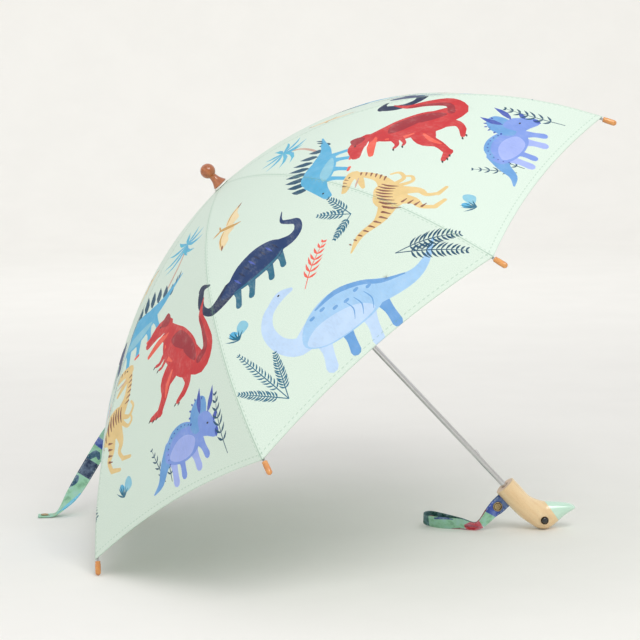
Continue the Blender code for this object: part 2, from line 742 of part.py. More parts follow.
def centre_on_origin(to_world):
    """Stands the whole umbrella with the middle of its outline over the origin."""
    bpy.context.view_layer.update()
    points = []
    for obj in PARTS.objects:
        if obj.type != "EMPTY":
            points += world_points(obj, to_world)
    middle_x = (min(p.x for p in points) + max(p.x for p in points)) / 2.0
    middle_y = (min(p.y for p in points) + max(p.y for p in points)) / 2.0
    AXIS.matrix_world = Matrix.Translation((-middle_x, -middle_y, 0.0)) @ to_world


def main():
    build_shaft()
    build_top_notch()
    build_runner()
    build_catch("top_catch", catch_height(0.0))
    build_catch("bottom_catch", catch_height(RUNNER_TRAVEL))
    build_collar()
    build_finial()
    build_stretchers()
    for number in range(1, RIB_COUNT + 1):
        build_rib(number)
        build_tip_cap(number)
        build_half_gore(number, -1)
        build_half_gore(number, 1)
    build_handle()
    build_eyes()
    tilt, crown_height = rest_tilt()
    to_world = Matrix.Translation((0.0, 0.0, crown_height)) @ tilt_matrix(tilt)
    build_wrist_strap(to_world)
    build_snap()
    build_tie_strap(to_world)
    centre_on_origin(to_world)


main()
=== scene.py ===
"""Looks of the children's umbrella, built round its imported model.

Lengths are in metres; the print's motifs are drawn in centimetres and scaled where they are
placed.  The umbrella's own frame has the crown at
the origin, +Z up the shaft to the finial and +X on the shaft's upper side.  Each gore is
cut from flat cloth along the outlines of its print, split into two halves at its middle, and
laid in space between its two ribs.
"""

import json
import math

import bmesh
import bpy
import numpy as np
from mathutils import Matrix, Vector
from mathutils.geometry import delaunay_2d_cdt


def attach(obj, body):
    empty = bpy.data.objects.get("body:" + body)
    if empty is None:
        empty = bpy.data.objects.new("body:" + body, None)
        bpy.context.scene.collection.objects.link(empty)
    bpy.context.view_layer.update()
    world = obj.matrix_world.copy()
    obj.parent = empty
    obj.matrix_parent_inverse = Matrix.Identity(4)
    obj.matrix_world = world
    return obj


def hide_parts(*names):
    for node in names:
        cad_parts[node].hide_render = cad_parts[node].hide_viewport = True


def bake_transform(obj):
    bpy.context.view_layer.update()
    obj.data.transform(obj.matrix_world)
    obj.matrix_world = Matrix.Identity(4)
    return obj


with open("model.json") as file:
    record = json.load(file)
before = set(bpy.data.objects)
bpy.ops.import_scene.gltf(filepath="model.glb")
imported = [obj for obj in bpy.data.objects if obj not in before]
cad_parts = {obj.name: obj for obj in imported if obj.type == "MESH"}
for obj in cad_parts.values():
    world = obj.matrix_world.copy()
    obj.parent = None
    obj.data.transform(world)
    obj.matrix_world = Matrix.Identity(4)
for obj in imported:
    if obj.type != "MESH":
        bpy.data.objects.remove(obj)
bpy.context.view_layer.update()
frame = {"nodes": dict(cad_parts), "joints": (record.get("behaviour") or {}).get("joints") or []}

# ---------------------------------------------------------------- dimensions

RIB_COUNT = 8
RIM_RADIUS = 0.410
RIM_DROP = 0.2075
RIB_BOW = 0.050
FLOOR_FLEX = math.radians(5.0)
LINK = 0.210
HINGE_RADIUS = 0.0085
HINGE_HEIGHT = 0.0060
RIB_PAST_CORNER = 0.0060
FABRIC_LIFT = 0.0025
HEM_SCALLOP = 0.013
CLOTH_START = 0.0012
CLOTH_THICK = 0.0005
HEM_WIDTH = 0.0065
HEM_BEFORE_CORNER = 0.0010
HEM_TOLERANCE = 0.0002
CLOTH_ROWS = 46
HEM_CELLS = 32
CLOTH_SPACING = 0.0100
HANDLE_TOP = 0.4940
BORE_RADIUS = 0.0038

COLLAR_BASE = 0.0093
FINIAL_BASE = 0.0117
CAP_LENGTH = 0.0160
CAP_RADIUS = 0.00325

BILL_LINE = ((0.0493, 0.0222), (0.0780, 0.0186))
EYE_PLACE = (0.0632, 0.0062)
EYE_RADIUS = 0.0040
EYE_FROM_MIDDLE = 0.01405
STRAP_SLOT_PLACE = 0.0132
STRAP_SLOT_LENGTH = 0.0212
STRAP_SLOT_WIDTH = 0.0042
SNAP_RADIUS = 0.0060
SNAP_DROP = 0.0240
SNAP_FROM_MIDDLE = 0.0016
WRIST_STRAP_WIDTH = 0.0190
WRIST_STRAP_THICK = 0.0010
WRIST_LOOP_END = 0.0066
TIE_STRAP_WIDTH = 0.0190
TIE_STRAP_THICK = 0.0014
TIE_STRAP_GORE = 3
TIE_STRAP_ALONG = 0.360
TIE_STRAP_SHARE = 1.0 - 0.55
TIE_STUD_PLACE = (-0.1178, -0.0172, 0.0029)
STRAP_BORDER_STEP = 0.004
STRAP_SPACING = 0.0035
FLOOR_CLEARANCE = 0.0006

FLOOR_RADIUS = 4.2
WALL_CURVE = 1.4
WALL_HEIGHT = 3.2

# Handle outline: along the shaft and across it, inner and outer side, and half width.
HANDLE_SECTIONS = [
    ((0.0000, 0.0133), (0.0000, -0.0133), 0.0133),
    ((0.0140, 0.0133), (0.0140, -0.0133), 0.0133),
    ((0.0270, 0.0130), (0.0270, -0.0133), 0.0132),
    ((0.0350, 0.0145), (0.0420, -0.0125), 0.0131),
    ((0.0420, 0.0178), (0.0550, -0.0098), 0.0130),
    ((0.0470, 0.0208), (0.0660, -0.0068), 0.0128),
    ((0.0492, 0.0225), (0.0745, -0.0010), 0.0124),
    ((0.0508, 0.0242), (0.0778, 0.0080), 0.0119),
    ((0.0530, 0.0262), (0.0786, 0.0170), 0.0113),
    ((0.0575, 0.0305), (0.0786, 0.0245), 0.0106),
    ((0.0640, 0.0365), (0.0794, 0.0325), 0.0100),
    ((0.0715, 0.0425), (0.0806, 0.0395), 0.0090),
    ((0.0775, 0.0455), (0.0815, 0.0445), 0.0060),
]

# The camera, as azimuth, elevation and roll in degrees, distance, aim point and lens.
CAMERA_AZIMUTH = -4.75
CAMERA_ELEVATION = 6.65
CAMERA_ROLL = -0.81
CAMERA_DISTANCE = 2.53
CAMERA_AIM = Vector((0.0128, 0.0, 0.2645))
CAMERA_LENS = 118.4

# ---------------------------------------------------------------- the umbrella's own frame

JOINTS = {joint["name"]: joint for joint in frame["joints"]}
UP = -Vector(JOINTS["runner_slide"]["axis"]).normalized()
SIDE = Vector((0.0, 1.0, 0.0))
OVER = SIDE.cross(UP)
HINGE_MIDDLE = sum((Vector(JOINTS[f"rib_{n}_hinge"]["pos_m"])
                    for n in range(1, RIB_COUNT + 1)), Vector()) / RIB_COUNT
CROWN = HINGE_MIDDLE - UP * HINGE_HEIGHT
TO_WORLD = Matrix.Translation(CROWN) @ Matrix((OVER, SIDE, UP)).transposed().to_4x4()
TO_LOCAL = TO_WORLD.inverted()


def in_world(x, y, z):
    return TO_WORLD @ Vector((x, y, z))


def link(name, data):
    obj = bpy.data.objects.new(name, data)
    bpy.context.scene.collection.objects.link(obj)
    return obj


def make_camera():
    azimuth, elevation = math.radians(CAMERA_AZIMUTH), math.radians(CAMERA_ELEVATION)
    back = Vector((math.sin(azimuth) * math.cos(elevation),
                   -math.cos(azimuth) * math.cos(elevation), math.sin(elevation)))
    right = Vector((math.cos(azimuth), math.sin(azimuth), 0.0))
    up = back.cross(right)
    roll = math.radians(CAMERA_ROLL)
    right, up = (math.cos(roll) * right + math.sin(roll) * up,
                 math.cos(roll) * up - math.sin(roll) * right)
    data = bpy.data.cameras.new("camera")
    data.lens = CAMERA_LENS
    data.sensor_width = 36.0
    camera = link("camera", data)
    turn = Matrix((right, up, back)).transposed().to_4x4()
    camera.matrix_world = Matrix.Translation(CAMERA_AIM + back * CAMERA_DISTANCE) @ turn
    bpy.context.scene.camera = camera


make_camera()

# ---------------------------------------------------------------- colours


def linear(red, green, blue):
    """Screen levels from 0 to 255 as scene-linear colour."""
    levels = [level / 255.0 for level in (red, green, blue)]
    return tuple(v / 12.92 if v <= 0.04045 else ((v + 0.055) / 1.055) ** 2.4
                 for v in levels)


INKS = {
    "cloth": linear(215, 231, 219),
    "navy": linear(2, 50, 104),
    "deep_navy": linear(2, 32, 74),
    "sea": linear(28, 104, 132),
    "sky": linear(160, 202, 240),
    "pale_sky": linear(190, 216, 246),
    "denim": linear(104, 160, 218),
    "red": linear(204, 38, 42),
    "dark_red": linear(160, 22, 38),
    "orange": linear(238, 92, 70),
    "sand": linear(230, 200, 136),
    "brown": linear(134, 78, 58),
    "violet_blue": linear(122, 152, 226),
    "pale_violet": linear(160, 178, 240),
    "royal": linear(58, 84, 178),
    "aqua": linear(84, 176, 218),
    "dark_teal": linear(4, 74, 104),
    "teal": linear(10, 102, 132),
    "coral": linear(238, 96, 78),
    "cream": linear(240, 218, 172),
    "ochre": linear(206, 160, 84),
    "cyan": linear(70, 184, 214),
    "trunk": linear(204, 166, 150),
    "mist": linear(136, 198, 220),
    "white": linear(238, 240, 232),
    "black": linear(24, 24, 28),
    "navy_print": linear(40, 72, 142),
    "stripe_cyan": linear(96, 196, 226),
    "stripe_green": linear(150, 206, 166),
    "deep_green": linear(24, 92, 78),
}

# ---------------------------------------------------------------- drawing the print


def smooth_through(points, closed=False, steps=5):
    """A Catmull-Rom line through flat points."""
    count = len(points)
    last = count if closed else count - 1
    line = []
    for i in range(last):
        if closed:
            p0, p1, p2, p3 = (points[(i + k) % count] for k in (-1, 0, 1, 2))
        else:
            p0, p1 = points[max(i - 1, 0)], points[i]
            p2, p3 = points[i + 1], points[min(i + 2, count - 1)]
        for step in range(steps):
            t = step / steps
            line.append(tuple(
                0.5 * (2 * b + (c - a) * t + (2 * a - 5 * b + 4 * c - d) * t * t
                       + (3 * b - a - 3 * c + d) * t ** 3)
                for a, b, c, d in zip(p0, p1, p2, p3)))
    if not closed:
        line.append(tuple(points[-1]))
    return line


def blob(ink, points):
    """A closed rounded shape."""
    return [(ink, smooth_through(points, closed=True, steps=4))]


def limb(ink, points, widths, steps=4):
    """A stroke whose width changes along it, with round ends."""
    line = smooth_through([(*p, w) for p, w in zip(points, widths)], steps=steps)
    left, right = [], []
    for i, (x, y, width) in enumerate(line):
        before, after = line[max(i - 1, 0)], line[min(i + 1, len(line) - 1)]
        dx, dy = after[0] - before[0], after[1] - before[1]
        length = math.hypot(dx, dy) or 1.0
        nx, ny = -dy / length * width / 2.0, dx / length * width / 2.0
        left.append((x + nx, y + ny))
        right.append((x - nx, y - ny))

    def round_end(centre, start, sweep):
        cx, cy, width = centre
        return [(cx + width / 2.0 * math.cos(start + sweep * k / 4.0),
                 cy + width / 2.0 * math.sin(start + sweep * k / 4.0)) for k in (1, 2, 3)]

    def heading(a, b):
        return math.atan2(b[1] - a[1], b[0] - a[0])

    end_turn = heading(line[-2], line[-1]) + math.pi / 2.0
    start_turn = heading(line[0], line[1]) - math.pi / 2.0
    outline = (left + round_end(line[-1], end_turn, -math.pi) + right[::-1]
               + round_end(line[0], start_turn, -math.pi))
    return [(ink, outline)]


def leaf(ink, base, tip, width, bend=0.0):
    """A pointed leaf, horn or plate."""
    bx, by = base
    dx, dy = tip[0] - bx, tip[1] - by
    nx, ny = -dy, dx
    sides = []
    for side in (1.0, -1.0):
        row = []
        for t, share in ((0.15, 0.62), (0.4, 1.0), (0.7, 0.66)):
            lift = bend * math.sin(math.pi * t)
            reach = side * share * width / (2.0 * math.hypot(dx, dy)) + lift
            row.append((bx + dx * t + nx * reach, by + dy * t + ny * reach))
        sides.append(row)
    return [(ink, [base] + sides[0] + [tip] + sides[1][::-1])]


def frond(ink, base, tip, leaflets=9, reach=1.1, width=0.16, bend=0.0):
    """A stem with leaflets that point forward on both sides."""
    bx, by = base
    dx, dy = tip[0] - bx, tip[1] - by
    length = math.hypot(dx, dy)
    ux, uy = dx / length, dy / length

    def on_stem(t):
        off = bend * math.sin(math.pi * t)
        return bx + dx * t - uy * off, by + dy * t + ux * off

    shapes = limb(ink, [on_stem(t) for t in (0.0, 0.35, 0.7, 1.0)], [0.10, 0.13, 0.10, 0.05])
    for i in range(leaflets):
        t = 0.22 + 0.74 * i / (leaflets - 1)
        size = reach * (0.55 + 0.9 * math.sin(math.pi * min(t * 0.9 + 0.15, 1.0)))
        root = on_stem(t)
        for side in (1.0, -1.0):
            lean = 0.55 + 0.08 * ((i * 7) % 3)
            end = (root[0] + size * 0.6 * (ux * lean * 1.4 - uy * side * 0.8),
                   root[1] + size * 0.6 * (uy * lean * 1.4 + ux * side * 0.8))
            shapes += leaf(ink, root, end, width, 0.08 * side)
    return shapes


def tuft():
    shapes = blob("mist", [(-0.2, -0.6), (0.2, 0.7), (1.0, 1.1), (1.5, 0.5), (1.3, -0.4)])
    shapes += blob("aqua", [(-0.9, -0.6), (-1.1, 0.4), (-0.5, 0.7), (-0.1, 0.0)])
    for x, y in ((-1.9, 0.1), (-1.3, 0.6), (-0.9, 0.9), (-0.3, 0.5), (0.2, 0.2), (0.6, -0.2)):
        shapes += leaf("teal", (-0.4, -1.1), (x, y), 0.22, 0.06)
    return shapes


def palm():
    shapes = limb("trunk", [(0.0, 0.0), (0.3, -2.4), (-0.2, -4.6), (-1.0, -6.6)],
                  [0.22, 0.30, 0.34, 0.28])
    for x, y, bend in ((-3.4, -2.4, 0.14), (-2.6, -3.4, 0.2), (-3.6, -0.4, 0.12), (-2.6, 1.3, 0.1),
                       (-0.9, 2.2, 0.08), (0.9, 2.3, -0.08), (2.5, 1.4, -0.12),
                       (3.3, 0.0, -0.14), (2.6, -1.7, -0.2), (1.4, -2.2, -0.16)):
        shapes += leaf("cyan", (0.0, 0.0), (x, y), 0.52, bend)
        shapes += leaf("aqua", (0.1, 0.1), (0.8 * x + 0.3, 0.8 * y - 0.2), 0.24, bend)
    return shapes


def legs(ink, tops, feet, widths, toe_ink=None):
    shapes = []
    for (x, y), (fx, fy) in zip(tops, feet):
        knee = (0.55 * x + 0.45 * fx + 0.12, 0.5 * (y + fy))
        shapes += limb(ink, [(x, y), knee, (fx, fy)], widths)
        if toe_ink:
            shapes += limb(toe_ink, [(fx - 0.35, fy - 0.12), (fx + 0.25, fy - 0.14)], [0.3, 0.34])
    return shapes


def striding_longneck():
    """A dark long-necked dinosaur that walks with its neck raised at the left."""
    shapes = legs("sea", [(-2.6, -1.0), (-0.8, -1.3), (1.5, -1.1), (3.0, -0.6)],
                  [(-3.2, -3.7), (-1.5, -3.6), (1.2, -3.3), (2.9, -2.8)],
                  [1.3, 0.75, 0.72])
    shapes += limb("navy", [(3.0, 0.3), (4.8, -0.2), (6.0, 0.3), (6.3, 1.5), (5.5, 2.4),
                            (4.9, 3.3), (5.4, 4.6)], [2.0, 1.35, 1.05, 0.85, 0.62, 0.4, 0.12])
    shapes += limb("deep_navy", [(-3.0, -0.5), (-5.2, -1.5), (-6.6, -1.5), (-7.3, -0.4),
                                 (-7.0, 1.0), (-6.4, 2.2)], [2.2, 1.5, 1.25, 1.1, 0.95, 0.8])
    shapes += limb("deep_navy", [(-6.6, 2.1), (-5.9, 2.6), (-5.1, 2.4)], [0.8, 0.85, 0.4])
    shapes += blob("navy", [(-4.6, -1.0), (-3.2, 0.3), (-1.5, 1.7), (0.8, 2.3), (2.8, 1.8),
                            (4.0, 0.6), (3.9, -0.6), (2.6, -1.5), (0.2, -1.9), (-2.2, -1.8),
                            (-3.8, -1.5)])
    shapes += blob("sea", [(-3.0, -1.5), (0.0, -1.45), (2.6, -1.1), (3.7, -0.5), (2.6, -1.4),
                           (0.2, -1.85), (-2.2, -1.75)])
    for i in range(8):
        x = -2.4 + 0.75 * i
        top = 1.5 - 0.16 * (x - 0.9) ** 2 * 0.7
        shapes += leaf("royal" if i % 3 == 0 else "deep_navy", (x, top), (x + 0.5, top - 1.4),
                       0.24)
    return shapes


def curled_longneck():
    """A pale long-necked dinosaur that curls its neck back, facing left."""
    shapes = legs("denim", [(-0.4, -1.2), (4.2, -0.4)], [(-0.3, -4.6), (4.8, -4.0)],
                  [1.8, 1.05, 1.15])
    shapes += limb("sky", [(3.4, 0.6), (6.2, -0.1), (8.6, -0.1), (10.4, 0.9), (11.9, 2.7)],
                   [3.4, 2.2, 1.4, 0.85, 0.2])
    shapes += limb("pale_sky", [(-3.2, 0.2), (-5.4, -0.7), (-7.2, 0.7), (-7.9, 3.1),
                                (-7.3, 5.1), (-6.1, 6.1)], [3.0, 2.3, 1.8, 1.5, 1.25, 1.05])
    shapes += limb("pale_sky", [(-6.5, 5.9), (-5.3, 6.6), (-4.0, 6.6)], [1.1, 1.3, 0.6])
    shapes += legs("pale_sky", [(-2.9, -1.0), (2.4, -0.8)], [(-3.2, -4.9), (2.3, -4.7)],
                   [2.3, 1.25, 1.35])
    shapes += blob("sky", [(-4.9, -1.2), (-4.4, 0.9), (-2.6, 2.5), (0.0, 3.3), (2.6, 2.8),
                           (4.7, 1.4), (4.9, -0.4), (3.4, -1.6), (0.4, -2.3), (-2.8, -2.4)])
    shapes += blob("pale_sky", [(-4.6, -1.2), (-3.2, 0.2), (-0.6, 0.6), (2.0, 0.2), (3.4, -1.2),
                                (0.6, -2.1), (-2.8, -2.25)])
    shapes += limb("denim", [(-2.4, 2.3), (0.2, 3.0), (3.0, 2.4), (5.2, 1.2), (7.6, 0.6)],
                   [0.2, 0.62, 0.55, 0.5, 0.15])
    for i in range(6):
        x, y = -3.2 + 1.35 * i, 1.5 + 0.4 * math.sin(1.9 * i)
        shapes += limb("denim", [(x, y), (x + 0.3, y + 0.08)], [0.40, 0.34])
    for x in (0.8, 1.8, 3.0):
        shapes += limb("denim", [(x, 1.2), (x + 0.5, 0.0), (x + 0.2, -1.2)], [0.06, 0.14, 0.05])
    shapes += limb("black", [(-5.5, 6.75), (-5.4, 6.8)], [0.2, 0.2])
    return shapes


def tall_biter():
    """A red two-legged dinosaur with its mouth open, facing left."""
    shapes = limb("red", [(3.0, -2.2), (3.4, -3.9), (2.6, -5.0)], [2.2, 1.1, 0.85])
    shapes += limb("red", [(2.7, -4.9), (1.5, -5.6)], [0.85, 0.55])
    shapes += limb("red", [(3.6, -1.2), (6.0, -2.5), (7.1, -0.8), (6.2, 1.6), (5.1, 3.6),
                           (5.3, 5.6)], [3.6, 2.5, 1.8, 1.2, 0.75, 0.18])
    shapes += blob("red", [(-2.2, 3.4), (-0.4, 3.6), (0.9, 3.9), (2.8, 2.6), (4.6, 0.6),
                           (5.3, -1.8), (4.2, -3.3), (2.2, -3.0), (0.4, -1.8), (-0.8, -0.4),
                           (-2.0, 1.2)])
    shapes += limb("red", [(-2.6, 4.9), (-1.2, 3.7), (0.4, 2.4)], [2.2, 2.6, 3.2])
    shapes += limb("orange", [(-2.0, 4.1), (-3.9, 3.1), (-5.2, 2.3)], [1.2, 0.95, 0.6])
    shapes += limb("red", [(-1.9, 5.0), (-3.7, 5.2), (-5.7, 4.0)], [2.2, 2.1, 1.1])
    shapes += blob("dark_red", [(-3.4, 5.8), (-2.4, 6.9), (-1.6, 6.1), (-1.8, 5.2), (-2.8, 5.2)])
    shapes += blob("dark_red", [(-0.6, 2.8), (1.0, 3.3), (2.9, 2.0), (4.5, 0.0), (4.8, -1.8),
                                (3.4, -1.0), (1.8, 0.6), (0.2, 1.6)])
    shapes += limb("dark_red", [(5.4, -2.0), (6.6, -0.9), (5.9, 1.4), (4.9, 3.4)],
                   [0.9, 0.8, 0.5, 0.2])
    shapes += limb("red", [(1.0, -0.6), (-0.8, -2.3), (-1.1, -4.0), (-2.0, -5.7)],
                   [3.2, 2.4, 1.25, 1.0])
    shapes += limb("red", [(-1.9, -5.7), (-3.6, -6.0)], [1.1, 0.6])
    shapes += limb("orange", [(0.2, -1.4), (-0.6, -2.8), (-0.9, -4.2)], [0.3, 0.6, 0.25])
    shapes += limb("orange", [(-1.8, 2.4), (-1.2, 0.8), (0.0, -0.2)], [0.25, 0.6, 0.2])
    shapes += limb("red", [(-1.4, 1.7), (-2.5, 0.5), (-3.3, 0.4)], [1.0, 0.55, 0.4])
    shapes += limb("red", [(-0.9, 1.2), (-1.9, -0.1), (-2.5, -0.3)], [0.8, 0.45, 0.35])
    for x, y in ((-4.0, -6.2), (-3.3, -6.4), (-2.6, -6.3), (1.0, -5.9), (1.7, -6.0),
                 (-3.7, 0.2), (-2.9, -0.5)):
        shapes += leaf("black", (x + 0.25, y + 0.25), (x - 0.2, y - 0.1), 0.24)
    shapes += limb("black", [(-3.6, 5.5), (-3.45, 5.52)], [0.24, 0.24])
    shapes += limb("white", [(-5.2, 3.5), (-3.4, 4.0), (-2.5, 4.3)], [0.12, 0.2, 0.1])
    return shapes


def striped_runner():
    """A sandy two-legged dinosaur with brown stripes, looking back to the left."""
    shapes = limb("sand", [(0.7, -1.0), (1.4, -2.9), (1.0, -4.0), (1.7, -5.0)],
                  [1.7, 0.95, 0.6, 0.5])
    shapes += limb("sand", [(1.6, -5.0), (3.1, -5.3)], [0.55, 0.4])
    shapes += limb("sand", [(-1.4, -1.0), (-4.0, -1.9), (-6.4, -1.7), (-8.8, -2.6)],
                   [2.1, 1.15, 0.7, 0.16])
    shapes += limb("sand", [(1.3, 0.3), (2.9, -0.4), (3.8, 0.5), (3.3, 1.3)],
                   [0.7, 0.5, 0.42, 0.32])
    shapes += limb("sand", [(1.5, -0.5), (2.7, -1.5), (3.5, -1.1), (3.4, -0.5)],
                   [0.65, 0.45, 0.4, 0.3])
    shapes += blob("sand", [(-2.7, -1.7), (-1.9, 0.5), (0.1, 1.7), (1.6, 1.2), (1.9, -0.3),
                            (0.7, -1.9), (-1.0, -2.5)])
    shapes += limb("sand", [(0.9, 0.4), (2.2, 2.0), (2.7, 4.0), (2.5, 5.2)],
                   [2.2, 1.3, 1.05, 1.2])
    shapes += limb("sand", [(2.4, 4.8), (1.3, 3.9), (0.3, 3.1)], [0.95, 0.75, 0.42])
    shapes += limb("sand", [(2.6, 5.5), (1.3, 5.5), (-0.6, 4.7)], [1.5, 1.15, 0.5])
    shapes += limb("sand", [(-0.8, -1.2), (-0.5, -3.2), (-1.1, -4.4), (-0.6, -5.7)],
                   [2.3, 1.2, 0.72, 0.62])
    shapes += limb("sand", [(-0.6, -5.7), (1.0, -6.1)], [0.62, 0.42])
    shapes += limb("trunk", [(2.0, 4.55), (0.9, 4.25), (0.2, 4.0)], [0.1, 0.22, 0.08])
    for i in range(8):
        x = -2.2 + 0.5 * i
        top = 1.5 - 0.28 * (x - 0.6) ** 2
        shapes += limb("brown", [(x, top), (x - 0.12, top - 0.9), (x + 0.1, top - 1.9)],
                       [0.12, 0.3, 0.08], steps=3)
    for i in range(6):
        y = 1.5 + 0.62 * i
        x = 2.0 + 0.25 * i - 0.03 * i * i
        shapes += limb("brown", [(x + 0.05, y), (x + 0.75 - 0.05 * i, y + 0.15)], [0.1, 0.26],
                       steps=2)
    for i in range(9):
        x = -2.3 - 0.68 * i
        y = -1.0 - 0.34 * min(i, 2) + 0.03 * i - 0.09 * max(i - 6, 0)
        tall = 1.0 - 0.1 * i
        shapes += limb("brown", [(x, y), (x - 0.08, y - tall)], [0.3 - 0.015 * i, 0.12], steps=2)
    for i in range(4):
        y = -2.2 - 0.75 * i
        shapes += limb("brown", [(-1.1, y), (-0.4, y - 0.2)], [0.3, 0.1], steps=2)
    for x, y in ((0.3, 5.55), (0.9, 5.8), (1.5, 5.95)):
        shapes += limb("brown", [(x, y), (x - 0.05, y - 0.4)], [0.2, 0.08], steps=2)
    shapes += limb("black", [(1.9, 5.7), (2.02, 5.7)], [0.2, 0.2])
    return shapes


def horned_grazer():
    """A periwinkle three-horned dinosaur facing right."""
    shapes = legs("violet_blue", [(-0.8, -0.8), (3.0, -0.2)], [(-0.4, -3.5), (4.2, -2.4)],
                  [1.7, 0.95, 1.0])
    shapes += limb("denim", [(-2.6, 0.2), (-4.0, -1.4), (-5.0, -3.2), (-6.5, -4.1)],
                   [2.6, 1.7, 1.0, 0.22])
    shapes += legs("pale_violet", [(-2.4, -0.6), (1.6, -0.8)], [(-2.0, -3.9), (2.5, -3.3)],
                   [2.0, 1.1, 1.15])
    shapes += blob("violet_blue", [(-3.7, -1.0), (-3.1, 1.3), (-1.0, 2.6), (1.4, 2.3),
                                   (2.9, 1.0), (3.1, -0.6), (1.6, -1.7), (-1.0, -2.0)])
    shapes += blob("pale_violet", [(-2.9, -0.8), (-1.4, 0.7), (0.6, 1.0), (2.2, 0.1),
                                   (1.4, -1.4), (-1.0, -1.7)])
    shapes += limb("denim", [(-3.2, 0.4), (-2.2, 1.7), (-0.4, 2.3), (1.4, 2.0)],
                   [0.5, 0.8, 0.7, 0.3])
    shapes += blob("denim", [(1.5, 1.5), (1.7, 3.4), (3.1, 4.7), (4.5, 4.3), (4.7, 2.6),
                             (3.8, 1.1), (2.4, 0.5)])
    shapes += leaf("royal", (3.4, 2.6), (3.5, 5.8), 0.85, 0.05)
    shapes += blob("violet_blue", [(3.1, 2.4), (4.9, 2.5), (6.0, 1.2), (6.7, -0.2), (6.0, -0.9),
                                   (4.6, -0.4), (3.3, 0.2)])
    shapes += leaf("royal", (4.9, 2.3), (6.1, 5.3), 0.85, -0.05)
    shapes += leaf("royal", (5.9, 1.0), (6.7, 2.3), 0.7)
    shapes += leaf("royal", (6.4, 0.2), (6.2, -1.0), 0.7)
    for i in range(11):
        angle = math.radians(205.0 - 14.0 * i)
        x, y = -0.2 + 3.0 * math.cos(angle), -0.4 + 2.7 * math.sin(angle)
        shapes += limb("royal", [(x, y), (x + 0.05, y)], [0.2, 0.2], steps=1)
    for i in range(7):
        angle = math.radians(60.0 + 24.0 * i)
        x, y = 3.1 + 1.45 * math.cos(angle), 2.7 + 1.75 * math.sin(angle)
        shapes += leaf("royal", (x, y), (x + 0.45 * math.cos(angle), y + 0.45 * math.sin(angle)),
                       0.3)
    shapes += limb("black", [(4.7, 1.1), (4.85, 1.1)], [0.22, 0.22])
    return shapes


def plated_walker():
    """A sky-blue dinosaur with dark plates down its back, facing left."""
    shapes = []
    for i in range(9):
        t = i / 8.0
        x = -3.4 + 8.6 * t
        y = -0.3 + 1.6 * math.sin(math.pi * min(t * 0.85 + 0.12, 1.0)) + 0.5 * t
        tall = 0.7 + 1.5 * math.sin(math.pi * (0.12 + 0.76 * t))
        shapes += leaf("dark_teal", (x, y - 0.2), (x + 0.35, y + tall), 0.85)
    shapes += legs("aqua", [(-2.3, -0.8), (-0.5, -1.0), (1.2, -0.8), (2.2, -0.2)],
                   [(-2.7, -3.3), (-0.9, -3.1), (1.3, -2.8), (2.9, -2.3)],
                   [1.5, 0.7, 0.6], "coral")
    shapes += limb("aqua", [(1.8, 0.2), (4.0, 0.4), (5.8, 1.1), (7.2, 1.6)],
                   [2.1, 1.15, 0.6, 0.15])
    shapes += limb("aqua", [(-2.4, -0.3), (-3.9, -1.4), (-5.3, -2.6)], [1.9, 1.15, 0.7])
    shapes += blob("aqua", [(-3.4, -1.1), (-2.6, 0.7), (-0.8, 1.6), (1.4, 1.3), (2.9, 0.3),
                            (2.7, -0.8), (1.0, -1.5), (-1.4, -1.7)])
    shapes += blob("mist", [(-2.6, -1.1), (-1.2, -0.3), (1.0, -0.4), (2.0, -0.8), (0.8, -1.3),
                            (-1.2, -1.5)])
    for x, y in ((6.0, 1.2), (6.5, 1.4)):
        shapes += leaf("dark_teal", (x, y), (x + 0.5, y + 0.9), 0.26)
    shapes += limb("black", [(-4.7, -1.95), (-4.6, -1.93)], [0.17, 0.17])
    return shapes


def winged_glider():
    """A cream flying reptile with open wings."""
    shapes = blob("cream", [(-4.1, -0.5), (-2.4, 0.5), (-0.8, 0.7), (0.0, 0.3), (0.8, 0.7),
                            (2.4, 0.7), (4.3, -0.2), (2.7, -0.4), (1.5, -1.2), (0.5, -0.7),
                            (-0.4, -1.2), (-1.5, -0.7), (-2.6, -1.1)])
    shapes += limb("ochre", [(-3.6, -0.4), (-2.2, 0.4), (-0.6, 0.5)], [0.08, 0.24, 0.12])
    shapes += limb("ochre", [(0.6, 0.5), (2.4, 0.5), (3.8, -0.1)], [0.12, 0.24, 0.08])
    shapes += limb("ochre", [(-0.1, 1.3), (0.0, 0.4), (0.1, -1.2), (0.3, -2.0)],
                   [0.5, 0.62, 0.42, 0.1])
    shapes += leaf("ochre", (-0.1, 1.2), (-1.2, 2.1), 0.42)
    shapes += leaf("ochre", (0.0, 1.3), (0.9, 1.9), 0.3)
    shapes += leaf("brown", (-3.2, -0.4), (-4.3, -0.7), 0.3)
    shapes += leaf("brown", (3.4, 0.0), (4.5, -0.4), 0.3)
    return shapes


def turned_about(shapes, x, down, turn=0.0, size=1.0):
    """A motif in its place on a gore: x from mid-gore and down from the crown, both in cm."""
    cos, sin = size * math.cos(math.radians(turn)), size * math.sin(math.radians(turn))
    return [(ink, [(0.01 * (x + cos * px - sin * py), 0.01 * (-down + sin * px + cos * py))
                   for px, py in outline]) for ink, outline in shapes]


def placed_frond(*drawn):
    """A frond whose ends are already given in their places on the gore."""
    return turned_about(frond(*drawn), 0.0, 0.0)


